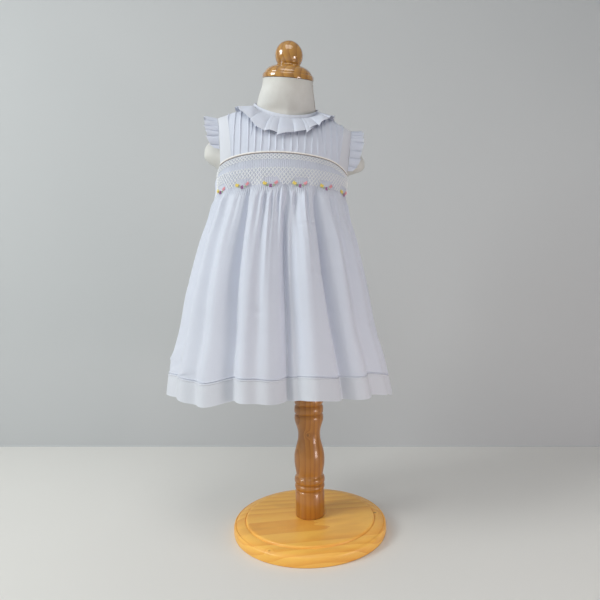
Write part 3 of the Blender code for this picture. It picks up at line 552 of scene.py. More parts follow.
    def lathe(self, name: str, profile: Table, segments: int, finish: str, slot: str,
              stands_for: Sequence[str], place: Callable[[Array], Array] | None = None,
              sharp: float = 42.0) -> bpy.types.Object:
        """A turned piece from its profile, top to bottom.

        Args:
            name: the piece's name.
            profile: radius and height, from the axis at the top to the axis at the foot.
            segments: steps round the axis.
            finish: the name of its material.
            slot: the record's material slot.
            stands_for: CAD nodes that it replaces.
            place: moves points from about the axis to where the piece stands.
            sharp: the angle in degrees over which an edge stays sharp.
        Returns:
            The object.
        """
        r, z = profile.column("radius")[1:-1], profile.column("height")[1:-1]
        turn = np.arange(segments) * (2 * math.pi / segments)
        rings = r[:, None, None] * outward(turn) + z[:, None, None] * UP
        ends = np.array(((0, 0, profile.rows[0, 1]), (0, 0, profile.rows[-1, 1])))
        if place is not None:
            rings, ends = place(rings), place(ends)
        return self.turned(name, rings, ends, finish, slot, stands_for, sharp)

    def tubes(self, name: str, paths: Sequence[Array], outward: Sequence[Array],
              radii: Sequence[Array], sides: int, finish: str, slot: str,
              stands_for: Sequence[str] = ()) -> bpy.types.Object:
        """Round threads along paths, all in one piece, their ends closed to points.

        Args:
            name: the piece's name.
            paths: points along each thread.
            outward: a direction out of the surface at each point.
            radii: the thread's radius at each point.
            sides: how many sides each thread has.
            finish: the name of its material.
            slot: the record's material slot.
            stands_for: CAD nodes that it replaces.
        Returns:
            The object.
        """
        turn = np.arange(sides) * (2 * math.pi / sides)
        vertices, faces, start = [], [], 0
        col = np.arange(sides)
        right = (col + 1) % sides
        for path, out, radius in zip(paths, outward, radii):
            along = np.gradient(path, axis=0)
            along /= np.linalg.norm(along, axis=1, keepdims=True)
            side = np.cross(along, out)
            side /= np.linalg.norm(side, axis=1, keepdims=True)
            up = np.cross(side, along)
            rings = path[:, None] + radius[:, None, None] * (
                np.cos(turn)[None, :, None] * side[:, None]
                + np.sin(turn)[None, :, None] * up[:, None])
            count = len(path) * sides
            vertices += [rings.reshape(-1, 3), path[[0, -1]]]
            faces += self.quads(len(path), sides, True, start).tolist()
            foot = start + count - sides
            for tip, one, other in ((start + count, start + col, start + right),
                                    (start + count + 1, foot + right, foot + col)):
                faces += np.stack((np.full(sides, tip), one, other), axis=-1).tolist()
            start += count + 2
        return self.add(name, np.concatenate(vertices), faces, finish, slot, stands_for)


# ------------------------------------------------------------------------ materials

class Graph:
    """A short way to lay out a material's nodes."""

    def __init__(self, name: str) -> None:
        self.material = bpy.data.materials.new(name)
        self.material.use_nodes = True
        self.tree = self.material.node_tree
        self.shader = self.tree.nodes["Principled BSDF"]
        self.output = self.tree.nodes["Material Output"]

    def node(self, kind: str, settings: dict | None = None, **inputs) -> bpy.types.Node:
        """A node, its settings, and its inputs as constants or as sockets to link."""
        node = self.tree.nodes.new(kind)
        for key, value in (settings or {}).items():
            setattr(node, key, value)
        for key, value in inputs.items():
            self.set(node.inputs[key.replace("_", " ")], value)
        return node

    def set(self, socket: bpy.types.NodeSocket, value) -> None:
        """Links a socket to another or gives it a constant."""
        if isinstance(value, bpy.types.NodeSocket):
            self.tree.links.new(value, socket)
        else:
            socket.default_value = value

    def math(self, operation: str, a, b=0.0, c=0.0) -> bpy.types.NodeSocket:
        """The result of a sum on one, two or three values."""
        node = self.tree.nodes.new("ShaderNodeMath")
        node.operation = operation
        for socket, value in zip(node.inputs, (a, b, c)):
            self.set(socket, value)
        return node.outputs[0]

    def fall(self, distance, reach: float, power: float) -> bpy.types.NodeSocket:
        """1 at no distance, falling to 0 at the reach."""
        left = self.math("SUBTRACT", 1.0, self.math("DIVIDE", distance, reach))
        return self.math("POWER", self.math("MAXIMUM", left, 0.0), power)

    def noise(self, at, scale: float, detail: float = 3.0,
              rough: float = 0.55) -> bpy.types.NodeSocket:
        """A noise's value at a place."""
        return self.node("ShaderNodeTexNoise", Vector=at, Scale=scale, Detail=detail,
                         Roughness=rough).outputs["Fac"]

    def ramp(self, factor, stops: Sequence[tuple[float, tuple]]) -> bpy.types.NodeSocket:
        """A colour read from a ramp of (place, colour) stops."""
        node = self.node("ShaderNodeValToRGB", Fac=factor)
        elements = node.color_ramp.elements
        while len(elements) < len(stops):
            elements.new(0.5)
        for element, (place, colour) in zip(elements, stops):
            element.position, element.color = place, (*colour, 1.0)
        return node.outputs["Color"]

    def mix(self, factor, a, b, blend: str = "MIX") -> bpy.types.NodeSocket:
        """A mix of two colours."""
        node = self.tree.nodes.new("ShaderNodeMix")
        node.data_type, node.blend_type = "RGBA", blend
        self.set(node.inputs[0], factor)
        for socket, value in ((node.inputs[6], a), (node.inputs[7], b)):
            self.set(socket, (*value, 1.0) if isinstance(value, tuple) else value)
        return node.outputs[2]

    def bump(self, height, strength: float, distance: float, normal=None) -> bpy.types.NodeSocket:
        """A normal bent by a height."""
        node = self.node("ShaderNodeBump", Height=height, Strength=strength, Distance=distance)
        if normal is not None:
            self.set(node.inputs["Normal"], normal)
        return node.outputs["Normal"]

    def place(self, name: str = "Object") -> bpy.types.NodeSocket:
        """Object or UV coordinates."""
        return self.node("ShaderNodeTexCoord").outputs[name]

    def surface(self, **inputs) -> bpy.types.Material:
        """The material, with the shader's inputs as constants or as sockets to link."""
        for key, value in inputs.items():
            self.set(self.shader.inputs[key.replace("_", " ")], value)
        return self.material

    def blend(self, share, other: bpy.types.Node) -> bpy.types.Material:
        """The material, with a share of a second shader mixed in."""
        mixed = self.node("ShaderNodeMixShader", Fac=share)
        self.set(mixed.inputs[1], self.shader.outputs[0])
        self.set(mixed.inputs[2], other.outputs[0])
        self.set(self.output.inputs["Surface"], mixed.outputs[0])
        return self.material


@dataclass(frozen=True)
class ClothFinish:
    """Thin cotton: a plain weave, paler where layers lie on each other."""

    name: str
    thin: tuple
    dense: tuple
    through: float = 0.28        # share of light that comes through one layer
    thread: float = 0.00055      # distance between threads

    def build(self) -> bpy.types.Material:
        """Makes the material."""
        graph = Graph(self.name)
        at, uv = graph.place(), graph.place("UV")
        layers = graph.node("ShaderNodeAttribute", {"attribute_name": "dense"}).outputs["Fac"]
        cloud = graph.noise(at, 14.0, 3.0)
        slub = graph.noise(graph.node("ShaderNodeMapping", Vector=uv, Scale=(900.0, 60.0, 1.0))
                           .outputs[0], 1.0, 2.0)
        tint = graph.ramp(cloud, ((0.30, shade(self.thin, 0.955)), (0.70, self.thin)))
        colour = graph.mix(layers, tint, self.dense)
        colour = graph.mix(0.05, colour, graph.ramp(slub, ((0.35, (0.72, 0.74, 0.80)),
                                                          (0.65, (1.0, 1.0, 1.0)))), "MULTIPLY")
        split = graph.node("ShaderNodeSeparateXYZ", Vector=uv)
        turns = 2 * math.pi / self.thread
        warp, weft = (graph.math("SINE", graph.math("MULTIPLY", split.outputs[axis], turns))
                      for axis in (0, 1))
        weave = graph.math("ADD", warp, weft)
        normal = graph.bump(weave, 0.10, 0.00008)
        normal = graph.bump(graph.noise(at, 240.0, 3.0), 0.22, 0.0006, normal)
        normal = graph.bump(graph.noise(at, 60.0, 2.0), 0.18, 0.0020, normal)
        graph.surface(Base_Color=colour, Roughness=0.85, Sheen_Weight=0.18, Sheen_Roughness=0.5,
                      Specular_IOR_Level=0.25, Normal=normal)
        glow = graph.node("ShaderNodeBsdfTranslucent", Normal=normal,
                          Color=graph.mix(0.6, colour, (0.80, 0.735, 0.86)))
        share = graph.math("MULTIPLY_ADD", layers, -0.6 * self.through, self.through)
        return graph.blend(share, glow)


@dataclass(frozen=True)
class ThreadFinish:
    """Embroidery thread or covered cord, with fine twisted strands."""

    name: str
    colour: tuple
    deep: tuple
    strand: float = 1400.0
    roughness: float = 0.55

    def build(self) -> bpy.types.Material:
        """Makes the material."""
        graph = Graph(self.name)
        at = graph.place()
        fine = graph.noise(at, self.strand, 2.0)
        colour = graph.ramp(fine, ((0.35, self.deep), (0.65, self.colour)))
        return graph.surface(Base_Color=colour, Roughness=self.roughness, Sheen_Weight=0.15,
                             Normal=graph.bump(fine, 0.35, 0.0003))


@dataclass(frozen=True)
class CoverFinish:
    """The form's tight cream cover: fine knit, faint blotches and rubbed marks."""

    name: str
    colour: tuple
    worn: tuple

    def build(self) -> bpy.types.Material:
        """Makes the material."""
        graph = Graph(self.name)
        at = graph.place()
        blotch = graph.noise(at, 18.0, 4.0, 0.6)
        marks = graph.noise(at, 55.0, 5.0, 0.7)
        colour = graph.ramp(blotch, ((0.32, self.worn), (0.62, self.colour)))
        colour = graph.mix(graph.ramp(marks, ((0.60, (0, 0, 0)), (0.80, (0.35, 0.35, 0.35)))),
                           colour, shade(self.worn, 0.8))
        fine = graph.noise(at, 1100.0, 2.0)
        normal = graph.bump(fine, 0.18, 0.0003)
        normal = graph.bump(blotch, 0.12, 0.004, normal)
        return graph.surface(Base_Color=colour, Roughness=0.62, Normal=normal)


class Grain(Enum):
    """Which way a piece of wood's grain runs."""

    ALONG_X = "x"
    ALONG_Z = "z"


@dataclass(frozen=True)
class WoodFinish:
    """Varnished wood: growth rings cut along the grain, fine pores, knots, a clear coat."""

    name: str
    light: tuple
    middle: tuple
    dark: tuple
    grain: Grain
    ring: float                  # distance between growth rings
    roughness: float
    coat: float
    knots: tuple = ()            # (x, y, z, radius)

    def build(self) -> bpy.types.Material:
        """Makes the material."""
        graph = Graph(self.name)
        at = graph.place()
        stretch = (0.10, 1.0, 1.0) if self.grain is Grain.ALONG_X else (1.0, 1.0, 0.10)
        along = graph.node("ShaderNodeMapping", Vector=at, Scale=stretch).outputs[0]
        warp = graph.noise(along, 16.0, 3.0)
        split = graph.node("ShaderNodeSeparateXYZ", Vector=along)
        if self.grain is Grain.ALONG_X:
            a, b = split.outputs[1], split.outputs[2]
            centre = (0.035, -0.110)
        else:
            a, b = split.outputs[0], split.outputs[1]
            centre = (0.050, 0.030)
        radius = graph.math("SQRT", graph.math(
            "ADD", graph.math("POWER", graph.math("ADD", a, centre[0]), 2.0),
            graph.math("POWER", graph.math("ADD", b, centre[1]), 2.0)))
        radius = graph.math("MULTIPLY_ADD", warp, 0.016, radius)
        knot_mask = None
        for x, y, z, size in self.knots:
            far = graph.node("ShaderNodeVectorMath", {"operation": "DISTANCE"})
            graph.set(far.inputs[0], at)
            far.inputs[1].default_value = (x, y, z)
            near = graph.fall(far.outputs["Value"], size * 3.2, 2.0)
            radius = graph.math("MULTIPLY_ADD", near, 0.020, radius)
            mask = graph.fall(far.outputs["Value"], size, 0.7)
            knot_mask = mask if knot_mask is None else graph.math("MAXIMUM", knot_mask, mask)
        phase = graph.math("FRACT", graph.math("DIVIDE", radius, self.ring))
        rings = graph.math("POWER", phase, 2.2)
        rings = graph.math("MULTIPLY", rings, graph.math("LESS_THAN", phase, 0.965))
        patchy = graph.math("MULTIPLY_ADD", graph.noise(at, 24.0), 1.5, -0.08)
        rings = graph.math("MULTIPLY", rings, patchy)
        colour = graph.ramp(rings, ((0.0, self.light), (0.35, self.middle), (1.0, self.dark)))
        fibre = graph.noise(graph.node("ShaderNodeMapping", Vector=at, Scale=tuple(
            40.0 if s < 1 else 900.0 for s in stretch)).outputs[0], 1.0, 3.0)
        colour = graph.mix(0.30, colour, graph.ramp(fibre, ((0.35, self.dark), (0.62, self.light))),
                           "SOFT_LIGHT")
        stain = graph.noise(at, 22.0, 3.0)
        colour = graph.mix(graph.math("MULTIPLY", stain, 0.35), colour, self.middle)
        figure = graph.noise(graph.node("ShaderNodeMapping", Vector=at, Scale=tuple(
            14.0 if s < 1 else 46.0 for s in stretch)).outputs[0], 1.0, 2.0)
        colour = graph.mix(graph.ramp(figure, ((0.52, (0, 0, 0)), (0.68, (0.34, 0.34, 0.34)))),
                           colour, self.dark)
        if knot_mask is not None:
            colour = graph.mix(graph.math("MULTIPLY", knot_mask, 0.9), colour,
                               shade(self.dark, 0.32))
        worn = graph.noise(at, 120.0, 4.0)
        rough = graph.math("MULTIPLY_ADD", worn, 0.14, self.roughness - 0.07)
        normal = graph.bump(fibre, 0.06, 0.0004)
        normal = graph.bump(graph.noise(at, 70.0, 2.0), 0.05, 0.002, normal)
        return graph.surface(Base_Color=colour, Roughness=rough, Coat_Weight=self.coat,
                             Coat_Roughness=0.08, Normal=normal)


@dataclass(frozen=True)
class PearlFinish:
    """A pearly button's smooth, faintly clouded white."""

    name: str
    colour: tuple

    def build(self) -> bpy.types.Material:
        """Makes the material."""
        graph = Graph(self.name)
        cloud = graph.noise(graph.place(), 160.0, 3.0)
        colour = graph.ramp(cloud, ((0.3, shade(self.colour, 0.88)), (0.7, self.colour)))
        return graph.surface(Base_Color=colour, Roughness=0.22, Coat_Weight=0.4)


@dataclass(frozen=True)
class StageFinish:
    """The pale matte floor and wall, clear from behind so that the back can be seen."""

    name: str
    colour: tuple

    def build(self) -> bpy.types.Material:
        """Makes the material."""
        graph = Graph(self.name)
        cloud = graph.noise(graph.place(), 1.5, 2.0)
        colour = graph.ramp(cloud, ((0.3, shade(self.colour, 0.98)), (0.7, self.colour)))
        graph.surface(Base_Color=colour, Roughness=0.9)
        behind = graph.node("ShaderNodeNewGeometry").outputs["Backfacing"]
        return graph.blend(behind, graph.node("ShaderNodeBsdfTransparent"))


FINISHES = (
    ClothFinish("white_batiste", (0.755, 0.805, 0.895), (0.665, 0.69, 0.74)),
    ThreadFinish("ecru_floss", (0.96, 0.97, 0.97), (0.86, 0.88, 0.90)),
    ThreadFinish("ecru_cord", (0.90, 0.89, 0.87), (0.78, 0.76, 0.74), 900.0, 0.8),
    # Dark taupe: the form's neck seam, and the painted shadow line under the piping cord.
    ThreadFinish("taupe_seam_and_shadow", (0.36, 0.31, 0.28), (0.26, 0.22, 0.20), 900.0, 0.8),
    ThreadFinish("yellow_floss", (0.90, 0.78, 0.24), (0.80, 0.62, 0.14)),
    ThreadFinish("pink_floss", (0.92, 0.50, 0.54), (0.84, 0.36, 0.42)),
    ThreadFinish("purple_floss", (0.46, 0.20, 0.40), (0.34, 0.13, 0.30)),
    ThreadFinish("green_floss", (0.50, 0.62, 0.34), (0.38, 0.50, 0.25)),
    CoverFinish("cream_cover", (0.62, 0.62, 0.59), (0.54, 0.525, 0.485)),
    PearlFinish("pearl_button", (0.88, 0.88, 0.86)),
    WoodFinish("honey_pine", (0.94, 0.54, 0.125), (0.86, 0.44, 0.085), (0.70, 0.31, 0.055),
               Grain.ALONG_X, 0.0100, 0.42, 0.08,
               ((-0.066, -0.089, 0.017, 0.0032), (0.100, -0.006, 0.017, 0.0030))),
    # Darker than the base's honey_pine: partly the post's own darker tone, partly painted shade
    # from the dress hanging over it.
    WoodFinish("pine_post_with_painted_shade", (0.48, 0.22, 0.032), (0.40, 0.17, 0.025), (0.24, 0.090, 0.014),
               Grain.ALONG_Z, 0.0075, 0.34, 0.45, ((-0.004, -0.018, 0.145, 0.0030),)),
    WoodFinish("dark_varnish", (0.50, 0.28, 0.065), (0.37, 0.19, 0.045), (0.20, 0.095, 0.025),
               Grain.ALONG_Z, 0.0075, 0.12, 1.0),
    StageFinish("pale_stage", (0.745, 0.735, 0.70)),
    StageFinish("pale_wall", (0.485, 0.50, 0.505)),
)


# --------------------------------------------------------------------- dress pieces

@dataclass(frozen=True)
class Smocking:
    """The smocked band: pleats held by stitches, and where its patterns lie."""

    pleat: float = 0.00262       # distance between pleats round the chest
    depth: float = 0.0016
    bottom: float = 0.5015       # level of its lower edge between the sprays
    point: float = 0.0060        # how much lower its points reach, one under each spray
    dip: float = 0.0030          # how much lower the pattern lies 0.1 m from the centre
    spray_pitch: float = 0.0405
    spray_height: float = 0.5085
    sprays: tuple = (-0.10125, -0.06075, -0.02025, 0.02025, 0.06075, 0.10125)

    def sag(self, arc: Array) -> Array:
        """How much lower the pattern lies towards the sides."""
        return self.dip * (arc / 0.1) ** 2

    def lower_edge(self, arc: Array) -> Array:
        """Height of the band's pointed lower edge."""
        from_spray = np.abs((arc / self.spray_pitch) % 1.0 - 0.5) * 2
        return self.bottom - self.sag(arc) - self.point * (1 - from_spray)

    def relief(self, arc: Array, height: Array) -> Array:
        """How far the pleats' valleys sink, less where stitches draw them together."""
        count = arc / self.pleat
        valley = (1 - np.abs(np.sin(math.pi * count))) ** 1.4
        row = (height - self.bottom) / 0.0034
        drawn = 0.5 + 0.5 * np.cos(math.pi * row + math.pi * np.round(count))
        held = ease(height - self.lower_edge(arc), -0.010, 0.004)
        return -self.depth * valley * held * (1 - 0.5 * drawn)


class Skirt:
    """The skirt: gathered, folded and hemmed, with smocking at the top of its front."""

    FRONT_COLUMNS, BACK_COLUMNS = 588, 400
    SEAM_FADE = 0.06             # turn over which the gathers flatten at a side seam
    BACK_RELEASE = 0.002         # how far below its top the back's gathers start
    HEM_STITCHING = (0.886, 0.930)    # shares of the drop that the hemstitching lies between

    def __init__(self, shape: DressShape, smocking: Smocking) -> None:
        self.shape, self.smocking = shape, smocking

    def folds(self, angle: Array, drop: Array, table: Table) -> Array:
        """Main folds: soft ridges and narrower troughs that grow down to the hem."""
        degrees = np.degrees(angle)
        growth = np.clip((drop - 0.10) / 0.45, 0, 1)
        growth = growth * (2 - growth)
        relief = np.zeros_like(degrees)
        for top, hem, spread, depth in table.rows:
            centre = top + (hem - top) * drop + 0.5 * np.sin(9 * drop + top)
            width = spread * (0.75 + 0.25 * drop)
            relief += depth * growth * bump(degrees - centre, width)
            if depth < -0.007:
                relief += 0.22 * depth * growth * bump(degrees - centre - 0.5, 0.38 * width)
        return relief

    def gathers(self, angle: Array, height: Array, release: Array) -> Array:
        """Fine gathers: uneven ripples, deepest just under where they are released."""
        below = release - height
        start = ease(below, -0.006, 0.010)
        fall = np.maximum(below, 0)
        warped = angle + 0.060 * np.sin(5 * angle + 0.6) + 0.026 * np.sin(13 * angle + 2.0)
        drift = 1.1 * np.sin(6 * angle + 1.0) * fall / 0.1
        uneven = 0.72 + 0.28 * np.sin(3.1 * angle + 1.2) + 0.22 * np.sin(11.3 * angle)
        coarse = (np.sin(24 * warped + 0.4 * drift) + 0.55 * np.sin(15 * warped + 2.1)
                  ) * (0.10 + 0.90 * np.exp(-fall / 0.120))
        fine = (0.80 * np.sin(47 * warped + drift) + 0.45 * np.sin(83 * warped + 0.4 - drift)
                ) * np.exp(-fall / 0.052)
        return 1.45 * MM * start * uneven * (1.10 * coarse + 2.5 * fine)

    def creases(self, arc: Array, height: Array) -> Array:
        """The small creases of the table."""
        relief = np.zeros_like(arc)
        for x, z, length, width, turn, depth in CREASES.rows:
            cosine, sine = math.cos(math.radians(turn)), math.sin(math.radians(turn))
            along = (arc - x) * cosine + (height - z) * sine
            across = (height - z) * cosine - (arc - x) * sine
            relief += 1.8 * depth * bump(across, width) * np.exp(-(along / length) ** 4)
        return relief

    def hem_line(self, above: Array) -> Array:
        """The hemstitching: two fine ridges with a drawn line between, above the hem."""
        top, width = self.shape.sizes.hem_depth, 0.7 * MM
        ridges = bump(above - top - 2 * width, width) + bump(above - top + 2 * width, width)
        return (0.85 * MM * ridges - 1.20 * MM * bump(above - top, width)
                + 0.25 * MM * ease(-above, -top, -top + 1.5 * MM))

    def front_surface(self, arc: Array, height: Array, lift: Array) -> tuple[Array, Array]:
        """Settled points over the smocked front, and the way out of it there."""
        angle = self.shape.angle_at(arc)
        x, y = self.shape.section(angle, height)
        out = outward(angle)
        points = np.stack((x, y, height), axis=-1) + out * np.asarray(lift)[..., None]
        return self.shape.settle(points), out

    def grid(self, front: bool, columns: int, drops: Array) -> tuple[Array, Array]:
        """A panel between its side seams, top edge to hem and up inside the hem.

        Args:
            front: the smocked front, or the gathered back.
            columns: steps across the panel.
            drops: share of the way from the top edge to the hem, one for each row.
        Returns:
            The settled grid, and how dense the cloth looks at each point.
        """
        shape, sizes = self.shape, self.shape.sizes
        half = np.interp(sizes.side_seam, shape.turn, shape.arc)
        arc, drop = np.meshgrid(np.linspace(-half, half, columns + 1), drops)
        turn = shape.angle_at(arc)
        if not front:
            back_half = shape.arc[-1] - half
            turn = np.interp(np.linspace(half, half + 2 * back_half, columns + 1),
                             np.concatenate((shape.arc, shape.arc[1:] + 2 * shape.arc[-1])),
                             np.concatenate((shape.turn, shape.turn[1:] + 2 * math.pi)))
            turn = np.broadcast_to(turn, arc.shape)
        wrapped = (turn + math.pi) % (2 * math.pi) - math.pi
        hem = HEM_HEIGHTS.read("height", np.degrees(wrapped)) + 0.5 * MM * np.sin(17 * turn)
        top = shape.skirt_top(wrapped, front)
        height = top + (hem - top) * drop

        def points(height: Array, drop: Array, inset: float) -> Array:
            count = len(height)
            here, along = turn[:count], arc[:count]
            x, y = shape.section(here, height)
            relief = self.folds(here, drop, FRONT_FOLDS if front else BACK_FOLDS)
            off_middle = np.abs(np.abs(wrapped[:count]) - (0 if front else math.pi))
            inside = np.clip((sizes.side_seam - off_middle) / self.SEAM_FADE, 0, 1)
            if front:
                edge = self.smocking.lower_edge(along)
                relief = relief + self.smocking.relief(along, height)
                relief = relief + self.creases(along, height)
            else:
                edge = top[:count] - self.BACK_RELEASE
            relief = relief + inside * self.gathers(here, height, edge)
            relief = relief + self.hem_line(height - hem[:count]) - inset
            return np.stack((x, y, height), axis=-1) + relief[..., None] * outward(here)

        outer = points(height, drop, 0.0)
        rise = np.array((0.3, 1.2, 7.0, 14.0, 21.0, 27.0, 30.2))[:, None] * MM
        inset = 1.15 * MM
        inner_height = hem[:len(rise)] + rise
        inner = points(inner_height, (top[:1] - inner_height) / (top[:1] - hem[:1]), inset)
        grid = np.concatenate((outer, inner))
        above = np.concatenate((height - hem, inner_height - hem[:len(rise)]))
        dense = 1.0 * ease(-above, -sizes.hem_depth - 0.8 * MM, -sizes.hem_depth + 0.8 * MM)
        return shape.settle(grid), dense

    def build(self, maker: MeshMaker) -> list[bpy.types.Object]:
        """Makes both panels."""
        first, last = self.HEM_STITCHING
        made = []
        for side, columns, stops, rows in (
                ("front", self.FRONT_COLUMNS,
                 (0, 0.165, 0.32, first, last, 1), (37, 23, 37, 31, 9)),
                ("back", self.BACK_COLUMNS, (0, 0.25, first, last, 1), (25, 41, 15, 8))):
            runs = [np.linspace(*run)[:-1] for run in zip(stops, stops[1:], rows)]
            grid, dense = self.grid(side == "front", columns, np.append(np.concatenate(runs), 1.0))
            made.append(maker.sheet(f"{side}_skirt_cloth", grid, (f"skirt_{side}",), dense))
        return made


class Embroidery:
    """The stitches on the smocked band and the flower sprays along its lower edge."""

    REACH = 0.1290               # how far the stitches run round from the centre front
    TRELLIS_TOP = 0.5300
    TRELLIS_STEP = 0.0034
    TRELLIS_ROWS = 9
    WHOLE_ROWS = 4               # rows that run on above the sprays
    # Each spray: colour, place from its middle along and up, turn in degrees, length in mm.
    BUDS = (("yellow", -7.6, 1.0, 62, 4.6), ("pink", 8.0, 2.2, 128, 4.2),
            ("purple", 0.4, -2.6, 8, 3.9))
    LEAVES = ((-5.0, -2.0, -38), (-3.4, -1.2, -70), (4.6, -0.9, 42), (5.2, -2.4, 18))

    def __init__(self, skirt: Skirt) -> None:
        self.skirt, self.smocking = skirt, skirt.smocking

    def zigzag(self, base: Array, arc: Array, height: float, phase: int, radius: float):
        """One row of stitches that steps up and down from pleat to pleat.

        Args:
            base: height of the row at each stitch.
            arc: place round the chest of each stitch.
            height: half the height of the zigzag.
            phase: 0 or 1, whether the first stitch steps up or down.
            radius: the thread's radius.
        Returns:
            The path, the way out of the surface, and the radii.
        """
        number = np.round(arc / self.smocking.pleat).astype(int)
        level = base + height * np.where((number + phase) % 2 == 0, 1, -1)
        fine = np.linspace(0, len(arc) - 1, 4 * (len(arc) - 1) + 1)
        index = np.arange(len(arc))
        a, z = np.interp(fine, index, arc), np.interp(fine, index, level)
        lift = 0.35 * MM + 0.20 * MM * np.sin(math.pi * (fine % 1.0))
        path, out = self.skirt.front_surface(a, z, lift)
        return path, out, np.full(len(path), radius)

    def stitches(self) -> tuple[list, list, list]:
        """All rows of stitches: a narrow band under the piping, then the trellis."""
        shape, smocking = self.skirt.shape, self.smocking
        count = int(self.REACH / smocking.pleat)
        arc = np.arange(-count, count + 1) * smocking.pleat
        seam = shape.skirt_top(shape.angle_at(arc))
        rows = [self.zigzag(seam - drop, arc, 1.15 * MM, phase, 0.42 * MM)
                for drop, phase in ((0.0022, 0), (0.0045, 1), (0.0068, 0))]
        near = np.min(np.abs(arc[:, None] - np.array(smocking.sprays)), axis=1)
        for step in range(self.TRELLIS_ROWS):
            level = np.minimum(self.TRELLIS_TOP - self.TRELLIS_STEP * step - smocking.sag(arc),
                               seam - 0.0100)
            past = step - self.WHOLE_ROWS
            kept = np.flatnonzero(near > (0.0 if past < 0 else 0.0090 + 0.0021 * past))
            for run in np.split(kept, np.flatnonzero(np.diff(kept) > 1) + 1):
                if len(run) > 4:
                    rows.append(self.zigzag(level[run], arc[run], 1.70 * MM, step % 2, 0.46 * MM))
        return tuple(map(list, zip(*rows)))

    def knot(self, arc: float, height: float, tilt: float, length: float, radius: float):
        """A bullion knot: a short plump coil of thread, bent a little."""
        s = np.linspace(-0.5, 0.5, 41)
        a = arc + length * s * math.cos(tilt) - 0.12 * length * (1 - 4 * s * s) * math.sin(tilt)
        z = height + length * s * math.sin(tilt) + 0.12 * length * (1 - 4 * s * s) * math.cos(tilt)
        round_end = np.sqrt(np.maximum(1 - (2 * s) ** 4, 0.02))
        radii = radius * round_end * (1 + 0.14 * np.cos(2 * math.pi * 9 * s))
        path, out = self.skirt.front_surface(a, z, np.full_like(a, 0.45 * MM + 0.7 * radius))
        return path, out, radii

    def bud(self, arc: float, height: float, tilt: float, size: float) -> list:
        """A rosebud: three knots, the middle one on top."""
        step = 0.34 * size
        return [self.knot(arc - step * math.sin(tilt), height + step * math.cos(tilt), tilt + 0.18,
                          size, 0.25 * size),
                self.knot(arc + step * math.sin(tilt), height - step * math.cos(tilt), tilt - 0.18,
                          size, 0.25 * size),
                self.knot(arc, height, tilt, 0.72 * size, 0.27 * size)]

    def build(self, maker: MeshMaker) -> None:
        """Makes the smocking threads and the four colours of the sprays."""
        paths, out, radii = self.stitches()
        maker.tubes("smocking_threads", paths, out, radii, 5, "ecru_floss", "batiste")
        groups: dict[str, list] = {"yellow": [], "pink": [], "purple": [], "green": []}
        for number, arc in enumerate(self.smocking.sprays):
            z = (self.smocking.spray_height - self.smocking.sag(arc)
                 + 0.4 * MM * math.sin(2.1 * number))
            lean = 0.15 * math.sin(1.7 * number)
            for colour, da, dz, tilt, size in self.BUDS:
                groups[colour] += self.bud(arc + da * MM, z + dz * MM,
                                           math.radians(tilt) + lean, size * MM)
            for da, dz, tilt in self.LEAVES:
                groups["green"].append(self.knot(arc + da * MM, z + dz * MM, math.radians(tilt),
                                                 2.6 * MM, 0.48 * MM))
        for colour, knots in groups.items():
            paths, out, radii = map(list, zip(*knots))
            maker.tubes(f"flower_{colour}", paths, out, radii, 8, f"{colour}_floss", "batiste")


